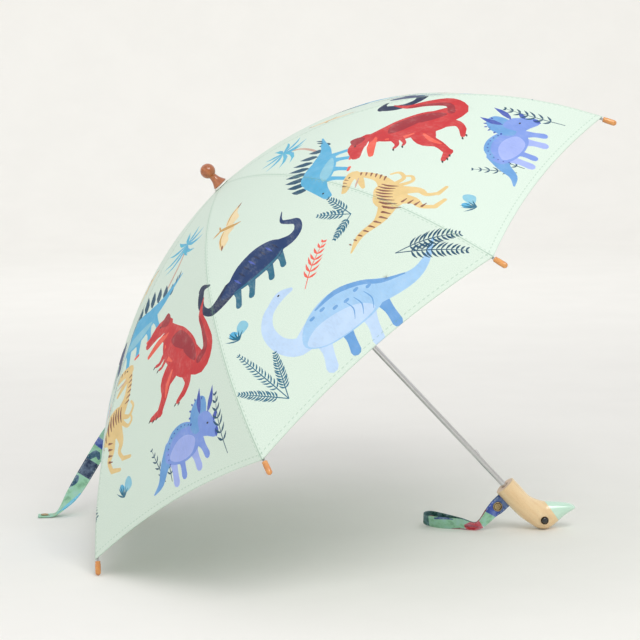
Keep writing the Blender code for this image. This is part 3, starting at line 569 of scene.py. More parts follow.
def pattern_of_longnecks():
    shapes = turned_about(winged_glider(), -2.6, 15.2, 46.0, 0.92)
    shapes += turned_about(striding_longneck(), -3.4, 25.4, -8.0, 1.06)
    shapes += turned_about(curled_longneck(), 0.3, 40.0, -14.0, 1.02)
    shapes += turned_about(tuft(), -9.2, 31.9, 0.0, 0.95)
    shapes += placed_frond("coral", (-0.8, -33.9), (4.2, -30.4), 7, 1.35, 0.32, 0.3)
    for tip in ((5.4, -26.6), (7.6, -25.6), (5.0, -31.4)):
        shapes += placed_frond("teal", (8.2, -30.2), tip, 8, 0.9, 0.26)
    for tip in ((-10.8, -34.4), (-13.4, -38.6), (-7.6, -37.6)):
        shapes += placed_frond("teal", (-9.6, -43.4), tip, 14, 0.95, 0.2)
    for tip, bend in (((15.2, -42.4), 0.5), ((14.4, -44.4), 0.2)):
        shapes += placed_frond("dark_teal", (8.7, -38.6), tip, 12, 1.35, 0.26, bend)
    return shapes


def pattern_of_biters():
    shapes = turned_about(palm(), 0.2, 10.8, -8.0, 1.12)
    shapes += turned_about(plated_walker(), -6.2, 20.6, 16.0, 1.2)
    shapes += turned_about(tall_biter(), 1.9, 28.8, -4.0, 1.04)
    shapes += turned_about(striped_runner(), -10.2, 31.8, 0.0, 1.06)
    for root, tip in (((-0.6, -43.0), (-2.6, -38.4)), ((0.6, -43.4), (0.4, -39.4))):
        shapes += placed_frond("dark_teal", root, tip, 5, 0.9, 0.22)
    shapes += turned_about(horned_grazer(), 3.6, 40.2, -4.0, 0.97)
    shapes += placed_frond("dark_teal", (10.9, -44.0), (10.2, -36.6), 7, 1.3, 0.3, 0.3)
    shapes += turned_about(tuft(), -8.4, 40.8, 6.0, 0.95)
    return shapes


PATTERNS = (pattern_of_biters(), pattern_of_longnecks())

# ---------------------------------------------------------------- the canopy's geometry


class RibLine:
    """A rib's centreline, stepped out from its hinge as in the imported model."""

    STEPS = 120

    def __init__(self, azimuth):
        chord_x, chord_z = RIM_RADIUS - HINGE_RADIUS, -RIM_DROP - HINGE_HEIGHT
        chord = math.hypot(chord_x, chord_z)
        half_turn = 2.0 * math.atan(2.0 * RIB_BOW / chord)
        self.radius = chord / (2.0 * math.sin(half_turn))
        self.start_angle = math.atan2(chord_x, -chord_z) + half_turn
        self.arc_length = 2.0 * self.radius * half_turn
        self.bracket = 2.0 * self.radius * math.asin(LINK / (2.0 * self.radius))
        self.azimuth = azimuth
        self.flex = -FLOOR_FLEX * math.cos(azimuth)
        self.length = self.arc_length + RIB_PAST_CORNER
        self.step = self.length / self.STEPS
        reach, height = HINGE_RADIUS, HINGE_HEIGHT
        self.points = [(reach, height)]
        for i in range(self.STEPS):
            angle = self.angle_at((i + 0.5) * self.step)
            reach += self.step * math.sin(angle)
            height -= self.step * math.cos(angle)
            self.points.append((reach, height))

    def angle_at(self, along):
        beyond = max(0.0, (along - self.bracket) / (self.length - self.bracket))
        return (self.start_angle - along / self.radius
                + 1.5 * self.flex * (2.0 * beyond - beyond * beyond))

    def at(self, along, lift=0.0):
        """The point this far along the rib, in the umbrella's frame."""
        place = min(max(along / self.step, 0.0), self.STEPS - 1e-6)
        first = int(place)
        share = place - first
        reach = (1 - share) * self.points[first][0] + share * self.points[first + 1][0]
        height = (1 - share) * self.points[first][1] + share * self.points[first + 1][1]
        angle = self.angle_at(along)
        reach += lift * math.cos(angle)
        height += lift * math.sin(angle)
        return Vector((reach * math.cos(self.azimuth), reach * math.sin(self.azimuth), height))

    def direction(self, along):
        angle = self.angle_at(along)
        return Vector((math.sin(angle) * math.cos(self.azimuth),
                       math.sin(angle) * math.sin(self.azimuth), -math.cos(angle)))


RIBS = {n: RibLine(math.radians(360.0 / RIB_COUNT * (n - 0.5)))
        for n in range(1, RIB_COUNT + 1)}
ARC_LENGTH = RIBS[1].arc_length


def next_rib(number):
    return number % RIB_COUNT + 1


def half_width(gore, down):
    first, second = RIBS[gore], RIBS[next_rib(gore)]
    return (second.at(down, FABRIC_LIFT) - first.at(down, FABRIC_LIFT)).length / 2.0


def hem_at(share):
    """How far down the hem is, for a share from -1 at one rib to 1 at the next."""
    return ARC_LENGTH - HEM_BEFORE_CORNER - HEM_SCALLOP * (1.0 - share * share)


def down_at(y):
    """How far down the gore a flat point's y is, kept between crown and corner."""
    return min(max(-y, CLOTH_START), ARC_LENGTH)


def on_gore(gore, x, down):
    """The point in the world of a place on the flat gore, and its share across."""
    down = max(down, CLOTH_START)
    first = RIBS[gore].at(down, FABRIC_LIFT)
    second = RIBS[next_rib(gore)].at(down, FABRIC_LIFT)
    share = max(-1.0, min(1.0, x / ((second - first).length / 2.0)))
    return TO_WORLD @ (first + (second - first) * (0.5 + 0.5 * share)), share


# ---------------------------------------------------------------- cutting printed cloth


def covered(points, outline):
    """Which of the flat points a closed outline winds round."""
    turns = np.zeros(len(points), int)
    x, y = points[:, 0], points[:, 1]
    for (ax, ay), (bx, by) in zip(outline, np.roll(outline, -1, axis=0)):
        left = (bx - ax) * (y - ay) - (x - ax) * (by - ay)
        turns += (ay <= y) & (by > y) & (left > 0)
        turns -= (ay > y) & (by <= y) & (left < 0)
    return turns != 0


def cut_pattern(border, creases, shapes, spacing, inside):
    """Triangles of a flat cloth, cut along its border, its creases and the print.

    Returns the flat points and, for each triangle, its corners and the ink on it.  A later
    shape is painted over an earlier one.
    """
    scale = 100.0  # the cutting works in centimetres, well above its tolerance
    points, edges = [], []

    def add(line, closed):
        first = len(points)
        points.extend(Vector((x * scale, y * scale)) for x, y in line)
        edges.extend((first + i, first + i + 1) for i in range(len(line) - 1))
        if closed:
            edges.append((first + len(line) - 1, first))

    add(border, True)
    for crease in creases:
        add(crease, False)
    for _, outline in shapes:
        add(outline, True)
    low_x, high_x = min(p[0] for p in border), max(p[0] for p in border)
    low_y, high_y = min(p[1] for p in border), max(p[1] for p in border)
    rows = int((high_y - low_y) / spacing)
    columns = int((high_x - low_x) / spacing)
    for i in range(1, rows):
        for j in range(1, columns):
            x = low_x + (j + 0.5 * (i % 2)) * spacing
            y = low_y + i * spacing
            if inside(x, y, spacing * 0.4):
                points.append(Vector((x * scale, y * scale)))
    cut = delaunay_2d_cdt(points, edges, [], 0, 1e-4, True)
    verts = np.array([(p.x, p.y) for p in cut[0]]) / scale
    triangles = np.array([tuple(corners) for corners in cut[2]])
    middles = verts[triangles].mean(axis=1)
    inside_border = [inside(x, y, 0.0) for x, y in middles]
    triangles, middles = triangles[inside_border], middles[inside_border]
    inks = ["cloth"] * len(triangles)
    for ink, outline in shapes:
        for i in np.flatnonzero(covered(middles, np.array(outline))):
            inks[i] = ink
    return verts, list(zip(triangles.tolist(), inks))


def sharpen_border(data):
    """Keeps the cloth's cut edges crisp when it is thickened."""
    faces_at = {}
    for polygon in data.polygons:
        for key in polygon.edge_keys:
            faces_at[key] = faces_at.get(key, 0) + 1
    layer = data.attributes.new("sharp_edge", "BOOLEAN", "EDGE")
    layer.data.foreach_set("value", [faces_at[edge.key] == 1 for edge in data.edges])


def cloth_mesh(name, flat, triangles, place, outward):
    """A mesh from flat triangles, with its ink and its flat coordinates as attributes.

    place turns a flat point into a point in the world; outward is the way its outer side
    looks.  The mesh still lies flat: the world points are returned with it.
    """
    used = sorted({i for corners, _ in triangles for i in corners})
    renumbered = {old: new for new, old in enumerate(used)}
    corners_list = [tuple(renumbered[i] for i in corners) for corners, _ in triangles]
    in_space = [place(flat[i][0], flat[i][1]) for i in used]
    a, b, c = (in_space[i] for i in corners_list[len(corners_list) // 2])
    if (b - a).cross(c - a).dot(outward) < 0.0:
        corners_list = [corners[::-1] for corners in corners_list]
    data = bpy.data.meshes.new(name)
    data.from_pydata([(flat[i][0], flat[i][1], 0.0) for i in used], [], corners_list)
    data.shade_smooth()
    ink_layer = data.color_attributes.new("ink", "FLOAT_COLOR", "CORNER")
    levels = []
    for _, ink in triangles:
        level = (*INKS[ink], 0.0 if ink == "cloth" else 1.0)
        levels.extend(level * 3)
    ink_layer.data.foreach_set("color", levels)
    uv_layer = data.uv_layers.new(name="cloth")
    uvs = []
    for corners in corners_list:
        for i in corners:
            uvs.extend((flat[used[i]][0], flat[used[i]][1]))
    uv_layer.data.foreach_set("uv", uvs)
    sharpen_border(data)
    return data, used, in_space


def add_measure(data, name, values):
    """A number for each point of the mesh, for the material to read."""
    layer = data.attributes.new(name, "FLOAT", "POINT")
    layer.data.foreach_set("value", values)


def mesh_from(name, shape, materials=()):
    """Turns a bmesh into a mesh with these materials, and frees it."""
    data = bpy.data.meshes.new(name)
    shape.to_mesh(data)
    shape.free()
    for material in materials:
        data.materials.append(material)
    return data


def thicken(piece, thickness):
    """Gives a piece of cloth its thickness, half on each side."""
    modifier = piece.modifiers.new("thickness", "SOLIDIFY")
    modifier.thickness = thickness
    modifier.offset = 0.0
    return modifier


def put_in_space(obj, points):
    flat = []
    for point in points:
        flat.extend(point)
    obj.data.vertices.foreach_set("co", flat)
    obj.data.update()


# ---------------------------------------------------------------- material helpers


class Nodes:
    """A short way to write a Principled material's nodes."""

    def __init__(self, name, colour=(0.8, 0.8, 0.8), **sockets):
        self.material = bpy.data.materials.new(name)
        self.material.use_nodes = True
        self.tree = self.material.node_tree
        self.shader = self.tree.nodes["Principled BSDF"]
        self.shader.inputs["Base Color"].default_value = (*colour, 1.0)
        for socket, value in sockets.items():
            self.shader.inputs[socket.replace("_", " ")].default_value = value

    def add(self, kind, settings=None, **inputs):
        node = self.tree.nodes.new(kind)
        for key, value in (settings or {}).items():
            setattr(node, key, value)
        for key, value in inputs.items():
            self.feed(node, key.replace("_", " "), value)
        return node

    def feed(self, node, socket, value):
        target = node.inputs[socket]
        if isinstance(value, bpy.types.NodeSocket):
            self.tree.links.new(value, target)
        elif isinstance(value, bpy.types.Node):
            self.tree.links.new(value.outputs[0], target)
        else:
            target.default_value = value

    def coordinates(self, uv=None, attribute=None, scale=(1, 1, 1)):
        """Texture coordinates, from a UV layer, an attribute or the object, stretched."""
        if uv:
            source = self.add("ShaderNodeUVMap", {"uv_map": uv}).outputs[0]
        elif attribute:
            source = self.add("ShaderNodeAttribute",
                              {"attribute_name": attribute}).outputs["Vector"]
        else:
            source = self.add("ShaderNodeTexCoord").outputs["Object"]
        return self.add("ShaderNodeMapping", Vector=source, Scale=scale)

    def noise(self, vector, scale, detail=3.0, roughness=0.5):
        return self.add("ShaderNodeTexNoise", Vector=vector, Scale=scale, Detail=detail,
                        Roughness=roughness)

    def math(self, operation, a, b=None):
        node = self.add("ShaderNodeMath", {"operation": operation})
        self.feed(node, 0, a)
        if b is not None:
            self.feed(node, 1, b)
        return node

    def ramp(self, value, low, high, to_low=0.0, to_high=1.0):
        return self.add("ShaderNodeMapRange", {"interpolation_type": "SMOOTHSTEP"}, Value=value,
                        From_Min=low, From_Max=high, To_Min=to_low, To_Max=to_high)

    def mix(self, factor, a, b, blend="MIX"):
        node = self.add("ShaderNodeMix", {"data_type": "RGBA", "blend_type": blend})
        self.feed(node, 0, factor)
        self.feed(node, 6, a if not isinstance(a, tuple) else (*a[:3], 1.0))
        self.feed(node, 7, b if not isinstance(b, tuple) else (*b[:3], 1.0))
        return node.outputs[2]

    def grain(self, scale, detail=3.0, roughness=0.5):
        """Noise that follows the umbrella's own frame, stretched along the shaft."""
        return self.noise(self.coordinates(attribute="grain", scale=scale), 1.0, detail,
                          roughness)

    def bump(self, height, strength=0.3, distance=0.0002):
        return self.add("ShaderNodeBump", Strength=strength, Distance=distance, Height=height)

    def attribute(self, name):
        return self.add("ShaderNodeAttribute", {"attribute_name": name}).outputs["Fac"]

    def finish(self, colour=None, roughness=None, normal=None):
        if colour is not None:
            self.feed(self.shader, "Base Color", colour)
        if roughness is not None:
            self.feed(self.shader, "Roughness", roughness)
        if normal is not None:
            self.feed(self.shader, "Normal", normal)
        return self.material


def watercolour(n, ink, wash):
    """The print's ink, paler and darker in pools, with faint brush streaks."""
    brush = n.noise(n.coordinates(uv="cloth", scale=(1.0, 0.35, 1.0)), 420.0, 2.0, 0.6)
    light = n.mix(0.20, ink, INKS["white"])
    dark = n.mix(0.18, ink, INKS["deep_navy"])
    toned = n.mix(n.ramp(wash, 0.38, 0.66), dark, light)
    return n.mix(n.ramp(brush, 0.35, 0.7, 0.10, 0.55), ink, toned)


def sewn_lines(n, flat):
    """Masks where shade is painted: the seam's valley, the stitch grooves by seam and hem, the
    hem's edge.
    """
    def stitches(direction):
        wave = n.add("ShaderNodeTexWave", {"bands_direction": direction}, Vector=flat,
                     Scale=52.0)
        return n.ramp(wave, 0.35, 0.6)

    seam, hem = n.attribute("to_seam"), n.attribute("to_hem")
    hem_line = n.math("ABSOLUTE", n.math("SUBTRACT", hem, HEM_WIDTH))
    seam_line = n.math("ABSOLUTE", n.math("SUBTRACT", seam, 0.0024))
    hem_groove = n.ramp(hem_line, 0.0002, 0.0009, 1.0, 0.0)
    seam_groove = n.ramp(seam_line, 0.0002, 0.0007, 1.0, 0.0)
    grooves = n.math("ADD", n.math("MULTIPLY", seam_groove, stitches("Y")),
                     n.math("MULTIPLY", hem_groove, stitches("X")))
    return n.ramp(seam, 0.0, 0.0011, 1.0, 0.0), grooves, n.ramp(hem, 0.0, 0.0012, 1.0, 0.0)


def printed_cloth(name, fade):
    """Woven cloth with a watercolour print; fade is how pale the print is on this side."""
    n = Nodes(name, INKS["cloth"], Roughness=0.72, Sheen_Weight=0.08, Sheen_Roughness=0.5)
    ink = n.add("ShaderNodeVertexColor", {"layer_name": "ink"})
    flat = n.coordinates(uv="cloth")
    wash = n.noise(flat, 48.0, 3.0, 0.6)
    slub = n.ramp(n.noise(flat, 900.0, 2.0, 0.5), 0.3, 0.7, 0.0, 1.0)
    cloth = n.mix(slub, linear(208, 226, 213), linear(220, 235, 223))
    cover = n.math("MULTIPLY", ink.outputs["Alpha"], 1.0 - fade)
    colour = n.mix(cover, cloth, watercolour(n, ink.outputs["Color"], wash))
    valley, grooves, edge = sewn_lines(n, flat)
    # Painted shade: the seam's valley, the stitch grooves and the hem's edge are darkened towards
    # deep green.
    shade = n.math("ADD", n.math("MULTIPLY", valley, 0.45), n.math("MULTIPLY", grooves, 0.35))
    shade = n.math("MINIMUM", n.math("ADD", shade, n.math("MULTIPLY", edge, 0.2)), 1.0)
    colour = n.mix(shade, colour, linear(120, 168, 140))
    warp = n.add("ShaderNodeTexWave", {"bands_direction": "X"}, Vector=flat, Scale=260.0)
    weft = n.add("ShaderNodeTexWave", {"bands_direction": "Y"}, Vector=flat, Scale=260.0)
    weave = n.math("MULTIPLY", warp, weft)
    height = n.math("SUBTRACT", n.math("ADD", n.math("MULTIPLY", weave, 0.25),
                                       n.math("MULTIPLY", slub, 0.2)),
                    n.math("ADD", n.math("MULTIPLY", valley, 1.6), grooves))
    return n.finish(colour, n.ramp(wash, 0.3, 0.7, 0.66, 0.78), n.bump(height, 0.35, 0.0003))


CLOTH_OUTSIDE = printed_cloth("canopy_print_outside", 0.0)
CLOTH_INSIDE = printed_cloth("canopy_print_inside", 0.55)

# ---------------------------------------------------------------- the canopy


def gore_border(gore):
    left, right, hem = [], [], []
    end = hem_at(1.0)
    for i in range(CLOTH_ROWS + 1):
        down = CLOTH_START + (end - CLOTH_START) * i / CLOTH_ROWS
        wide = half_width(gore, down)
        left.append((-wide, -down))
        right.append((wide, -down))
    for i in range(1, HEM_CELLS):
        share = -1.0 + 2.0 * i / HEM_CELLS
        down = hem_at(share)
        hem.append((share * half_width(gore, down), -down))
    return left + hem + right[::-1]


def hem_fold(gore):
    """The line where the hem's turned edge is sewn."""
    line = []
    for i in range(HEM_CELLS + 1):
        share = -1.0 + 2.0 * i / HEM_CELLS
        down = hem_at(share) - HEM_WIDTH
        line.append((share * half_width(gore, down), -down))
    return line


def shapes_on(gore):
    """The gore's own print and what reaches over from the gores beside it."""
    def beside(other, direction):
        moved = []
        for ink, outline in PATTERNS[(other + 1) % 2]:
            shifted = []
            for x, y in outline:
                down = down_at(y)
                gap = half_width(gore, down) + half_width(other, down)
                shifted.append((x + direction * gap, y))
            reach = [abs(x) / half_width(gore, down_at(y)) for x, y in shifted]
            if min(reach) < 1.0:
                moved.append((ink, shifted))
        return moved

    before = (gore - 2) % RIB_COUNT + 1
    return beside(before, -1.0) + beside(next_rib(gore), 1.0) + PATTERNS[(gore + 1) % 2]


def pattern_share(weight):
    """The place from 0 to 1 where the smooth step 3t^2 - 2t^3 has this weight."""
    return 0.5 - math.sin(math.asin(1.0 - 2.0 * weight) / 3.0)


def gore_test(gore):
    """A test of whether a flat point is on the gore, at least a margin from its border."""
    def inside(x, y, margin):
        down = -y
        if down < CLOTH_START + margin * 0.2 or down > ARC_LENGTH:
            return False
        wide = half_width(gore, down)
        return (abs(x) < wide - margin
                and down < hem_at(max(-1.0, min(1.0, x / wide))) - margin)
    return inside


def build_gore(gore):
    """Cuts a gore and makes its halves: b on its first rib and a on the next."""
    end = hem_at(0.0)
    middle = [(0.0, -CLOTH_START - (end - CLOTH_START) * i / CLOTH_ROWS)
              for i in range(CLOTH_ROWS + 1)]
    spacing = CLOTH_SPACING
    flat, triangles = cut_pattern(gore_border(gore), [middle, hem_fold(gore)],
                                  shapes_on(gore), spacing, gore_test(gore))
    for number, letter, side in ((gore, "b", -1.0), (next_rib(gore), "a", 1.0)):
        half = [(corners, ink) for corners, ink in triangles
                if side * sum(flat[i][0] for i in corners) > 0.0]
        build_half(gore, number, letter, flat, half)


def build_half(gore, number, letter, flat, half):
    name = f"canopy_{number}{letter}"
    down = 0.3
    outward = on_gore(gore, 0.0, down)[0] - in_world(0.0, 0.0, -down)
    data, used, points = cloth_mesh(name, flat, half,
                                    lambda x, y: on_gore(gore, x, -y)[0], outward)
    shares = [abs(on_gore(gore, flat[i][0], -flat[i][1])[1]) for i in used]
    from_hem = [hem_at(share) + flat[i][1] for i, share in zip(used, shares)]
    add_measure(data, "to_seam", [(1.0 - share) * half_width(gore, -flat[i][1])
                                  for i, share in zip(used, shares)])
    add_measure(data, "to_hem", from_hem)
    data.materials.append(CLOTH_OUTSIDE)
    data.materials.append(CLOTH_INSIDE)
    piece = link(name, data)
    for i, share in enumerate(shares):
        data.vertices[i].co.x = pattern_share(min(1.0, max(0.0, 1.0 - share)))
    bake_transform(piece)
    put_in_space(piece, points)
    turned_up = [i for i, distance in enumerate(from_hem) if distance < HEM_WIDTH + HEM_TOLERANCE]
    piece.vertex_groups.new(name="hem").add(turned_up, 1.0, "REPLACE")
    thickness = thicken(piece, 2.0 * CLOTH_THICK)
    thickness.vertex_group = "hem"
    thickness.thickness_vertex_group = 0.5
    thickness.material_offset = 1
    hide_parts(f"gore_{number}{letter}")
    width = half_width(gore, ARC_LENGTH)


for gore_number in range(1, RIB_COUNT + 1):
    build_gore(gore_number)

# ---------------------------------------------------------------- turned and carved pieces


def mark_grain(data):
    """Keeps each point's place in the umbrella's frame, which wood grain follows."""
    layer = data.attributes.new("grain", "FLOAT_VECTOR", "POINT")
    values = []
    for vertex in data.vertices:
        values.extend(TO_LOCAL @ vertex.co)
    layer.data.foreach_set("vector", values)


def turned_mesh(name, profile, turn, materials, steps=56, second_rows=()):
    """A profile of (radius, height) turned round its own Z and put in the world by turn.

    The faces in second_rows take the second material.
    """
    shape = bmesh.new()
    rings = []
    for radius, height in profile:
        if radius < 1e-7:
            rings.append([shape.verts.new(turn @ Vector((0.0, 0.0, height)))])
            continue
        rings.append([shape.verts.new(turn @ Vector((
            radius * math.cos(2.0 * math.pi * i / steps),
            radius * math.sin(2.0 * math.pi * i / steps), height))) for i in range(steps)])
    for row, (upper, lower) in enumerate(zip(rings, rings[1:])):
        for i in range(steps):
            j = (i + 1) % steps
            corners = [upper[i % len(upper)], lower[i % len(lower)], lower[j % len(lower)],
                       upper[j % len(upper)]]
            face = shape.faces.new(list(dict.fromkeys(corners)))
            face.smooth = True
            if row in second_rows:
                face.material_index = 1
    bmesh.ops.recalc_face_normals(shape, faces=shape.faces)
    data = mesh_from(name, shape, materials)
    mark_grain(data)
    return link(name, data)


def rounded_profile(points, steps=4):
    """A smooth profile through (radius, height) points; equal neighbours make a corner."""
    return [(max(radius, 0.0), height) for radius, height in smooth_through(points, steps=steps)]


def looking_along(direction, place):
    turn = Vector((0.0, 0.0, 1.0)).rotation_difference(Vector(direction)).to_matrix().to_4x4()
    return Matrix.Translation(place) @ turn


def varnished_wood(name, light, dark, gloss=0.28, coat=0.6):
    """Varnished wood: fine grain along the shaft, a few broad bands and small pores."""
    n = Nodes(name, light, Roughness=gloss, Coat_Weight=coat, Coat_Roughness=0.08)
    fine = n.grain((900.0, 900.0, 46.0), 3.0, 0.6)
    broad = n.grain((170.0, 170.0, 22.0), 2.0)
    pores = n.grain((2600.0, 2600.0, 240.0), 2.0)
    tone = n.mix(n.ramp(broad, 0.3, 0.7, 0.0, 0.55), light, dark)
    tone = n.mix(n.ramp(fine, 0.35, 0.72, 0.0, 0.45), tone, dark)
    tone = n.mix(n.ramp(pores, 0.62, 0.72, 0.0, 0.4), tone, tuple(0.55 * v for v in dark))
    rough = n.ramp(fine, 0.3, 0.7, gloss - 0.05, gloss + 0.1)
    bump = n.bump(n.math("ADD", fine, pores), 0.12, 0.0002)
    return n.finish(tone, rough, bump)


def end_grain(name, light, dark):
    """Bare sawn end of the grip, with rings round the shaft and painted shade round the bore."""
    n = Nodes(name, light, Roughness=0.55, Coat_Weight=0.25, Coat_Roughness=0.2)
    place = n.coordinates(attribute="grain", scale=(1.0, 1.0, 0.0))
    away = n.add("ShaderNodeVectorMath", {"operation": "LENGTH"})
    n.feed(away, 0, place)
    distance = away.outputs["Value"]
    wobble = n.grain((300.0, 300.0, 300.0))
    rings = n.add("ShaderNodeMath", {"operation": "SINE"})
    n.feed(rings, 0, n.math("ADD", n.math("MULTIPLY", distance, 5200.0),
                            n.math("MULTIPLY", wobble, 9.0)))
    tone = n.mix(n.ramp(rings, -0.4, 1.0, 0.0, 0.35), light, dark)
    # Painted shade: the wood darkens round the bore, where shade falls into the hole.
    tone = n.mix(n.ramp(distance, 0.0040, 0.0058, 0.80, 0.0), tone, linear(120, 78, 60))
    tone = n.mix(n.ramp(distance, 0.0112, 0.0134, 0.0, 0.5), tone, linear(236, 200, 158))
    return n.finish(tone, n.ramp(wobble, 0.3, 0.7, 0.45, 0.6), n.bump(rings, 0.1, 0.0002))


def gloss_paint(name, colour, deeper, gloss=0.16):
    """Brushed gloss paint with faint streaks and a clear coat."""
    n = Nodes(name, colour, Roughness=gloss, Coat_Weight=0.8, Coat_Roughness=0.05)
    streak = n.grain((60.0, 420.0, 60.0), 2.0)
    speck = n.grain((1500.0, 1500.0, 1500.0))
    tone = n.mix(n.ramp(streak, 0.3, 0.75, 0.0, 0.5), colour, deeper)
    tone = n.mix(n.ramp(speck, 0.68, 0.74, 0.0, 0.3), tone, INKS["white"])
    return n.finish(tone, n.ramp(streak, 0.3, 0.7, gloss - 0.04, gloss + 0.08),
                    n.bump(streak, 0.08, 0.0003))


def metal(name, light, dark, roughness, scale=(900.0, 900.0, 60.0), wear=0.25):
    """Metal with fine drawn lines and slight staining."""
    n = Nodes(name, light, Roughness=roughness, Metallic=1.0)
    lines = n.noise(n.coordinates(scale=scale), 1.0, 3.0, 0.6)
    stain = n.noise(n.coordinates(), 90.0, 3.0, 0.6)
    tone = n.mix(n.ramp(stain, 0.4, 0.75, 0.0, wear), light, dark)
    tone = n.mix(n.ramp(lines, 0.45, 0.8, 0.0, 0.2), tone, dark)
    return n.finish(tone, n.ramp(lines, 0.3, 0.7, roughness * 0.75, roughness * 1.35),
                    n.bump(lines, 0.06, 0.0001))


def moulded(name, colour, deeper, roughness):
    """Plain moulded plastic or enamel with a fine skin."""
    n = Nodes(name, colour, Roughness=roughness)
    skin = n.noise(n.coordinates(), 1400.0, 2.0)
    cloud = n.noise(n.coordinates(), 120.0, 2.0)
    tone = n.mix(n.ramp(cloud, 0.35, 0.7, 0.0, 0.5), colour, deeper)
    return n.finish(tone, n.ramp(skin, 0.3, 0.7, roughness - 0.06, roughness + 0.08),
                    n.bump(skin, 0.1, 0.0001))


HANDLE_WOOD = varnished_wood("birch_grip", linear(249, 222, 178), linear(234, 196, 144))
FINIAL_WOOD = varnished_wood("finial_beech", linear(196, 116, 62), linear(140, 68, 30),
                             gloss=0.24, coat=0.9)
CAP_WOOD = varnished_wood("cap_beech", linear(236, 168, 88), linear(186, 100, 38), gloss=0.26,
                          coat=0.9)
GRIP_END = end_grain("grip_end_grain", linear(242, 208, 184), linear(222, 176, 150))
MINT_PAINT = gloss_paint("mint_gloss", linear(208, 240, 222), linear(194, 232, 211))
EYE_GLOSS = gloss_paint("eye_gloss", linear(12, 12, 14), linear(30, 30, 34), 0.1)
STEEL = metal("drawn_steel", (0.70, 0.70, 0.71), (0.50, 0.50, 0.52), 0.11, (300.0,) * 3, 0.1)
WIRE_STEEL = metal("rib_steel", (0.60, 0.60, 0.61), (0.30, 0.30, 0.32), 0.3)
BRASS = metal("antique_brass", linear(190, 168, 128), linear(104, 84, 56), 0.32,
              (500.0, 500.0, 500.0), 0.6)
# Dark brass: painted shade in the press stud's groove; it also colours the eye rings.
BRASS_DARK = metal("brass_recess", linear(84, 68, 50), linear(34, 28, 22), 0.5,
                   (500.0, 500.0, 500.0), 0.7)
BLACK_METAL = moulded("black_enamel", linear(32, 33, 36), linear(48, 49, 54), 0.34)
WHITE_PLASTIC = moulded("white_collar", linear(238, 238, 232), linear(224, 223, 214), 0.4)


def stand_for(piece, node, body):
    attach(piece, body)
    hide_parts(node)


def build_finial():
    ball, height = 0.0090, 0.0213
    neck_angle = math.asin(0.0045 / ball)
    profile = []
    for i in range(25):
        angle = (math.pi - neck_angle) * i / 24
        profile.append((ball * math.sin(angle), height + ball * math.cos(angle)))
    profile += rounded_profile([(0.0045, 0.0125), (0.0049, 0.0095), (0.0060, 0.0062),
                                (0.0077, 0.0030), (0.0089, 0.0012)])[1:]
    profile += [(0.0090, 0.0007), (0.0088, 0.0002), (0.0084, 0.0), (0.0, 0.0)]
    finial = turned_mesh("finial_turned", profile,
                         TO_WORLD @ Matrix.Translation((0, 0, FINIAL_BASE)), [FINIAL_WOOD])
    stand_for(finial, "finial", "stick")
    profile = [(0.0040, 0.0021), (0.0088, 0.0021), (0.0095, 0.0019), (0.0101, 0.0013),
               (0.0102, 0.0006), (0.0100, 0.0001), (0.0096, 0.0), (0.0040, 0.0)]
    collar = turned_mesh("collar_turned", profile,
                         TO_WORLD @ Matrix.Translation((0, 0, COLLAR_BASE)), [WHITE_PLASTIC])
    stand_for(collar, "collar", "stick")


def build_tip_caps():
    """Turned wooden caps: a small bead where the rib goes in, then a rounded end."""
    profile = [(0.0018, 0.0002), (0.0027, 0.0), (0.0030, 0.0003), (0.00315, 0.0010),
               (0.0029, 0.0016), (0.00300, 0.0022), (CAP_RADIUS, 0.0045),
               (CAP_RADIUS, 0.0105)]
    for i in range(1, 9):
        angle = math.pi / 2.0 * i / 8
        profile.append((CAP_RADIUS * math.cos(angle),
                        CAP_LENGTH - CAP_RADIUS + CAP_RADIUS * math.sin(angle)))
    profile[-1] = (0.0, CAP_LENGTH)
    for number, rib in RIBS.items():
        place = TO_WORLD @ rib.at(rib.arc_length + 0.0008)
        direction = TO_WORLD.to_3x3() @ rib.direction(rib.arc_length)
        cap = turned_mesh(f"tip_cap_turned_{number}", profile,
                          looking_along(direction, place), [CAP_WOOD], steps=28)
        stand_for(cap, f"tip_cap_{number}", f"rib_{number}")


def handle_point(along, across, sideways=0.0):
    return in_world(across, sideways, -HANDLE_TOP - along)


def carved_handle_shape():
    """The whole head and grip as one smooth body, before the bill is parted off."""
    rows = smooth_through([(*inner, *outer, half) for inner, outer, half in HANDLE_SECTIONS],
                          steps=6)
    eased = [(0.0, 0.93, rows[0]), (0.0004, 0.99, rows[0])]
    body = [(0.0, 1.0, row) for row in rows[1:-4]]
    for row, share in zip(rows[-4:], (0.98, 0.90, 0.74, 0.46)):
        body.append((0.0, share, row))
    sides = 56
    shape = bmesh.new()
    rings = []
    for shift, share, (ia, ic, oa, oc, half) in eased + body:
        ring = []
        for i in range(sides):
            angle = 2.0 * math.pi * i / sides
            along = (ia + oa) / 2.0 + (ia - oa) / 2.0 * math.cos(angle) * share + shift
            across = (ic + oc) / 2.0 + (ic - oc) / 2.0 * math.cos(angle) * share
            ring.append(shape.verts.new(handle_point(along, across,
                                                     half * share * math.sin(angle))))
        rings.append(ring)
    for upper, lower in zip(rings, rings[1:]):
        for i in range(sides):
            j = (i + 1) % sides
            shape.faces.new((upper[i], upper[j], lower[j], lower[i])).smooth = True
    shape.faces.new(rings[0][::-1]).material_index = 1
    shape.faces.new(rings[-1]).smooth = True
    bmesh.ops.recalc_face_normals(shape, faces=shape.faces)
    return shape


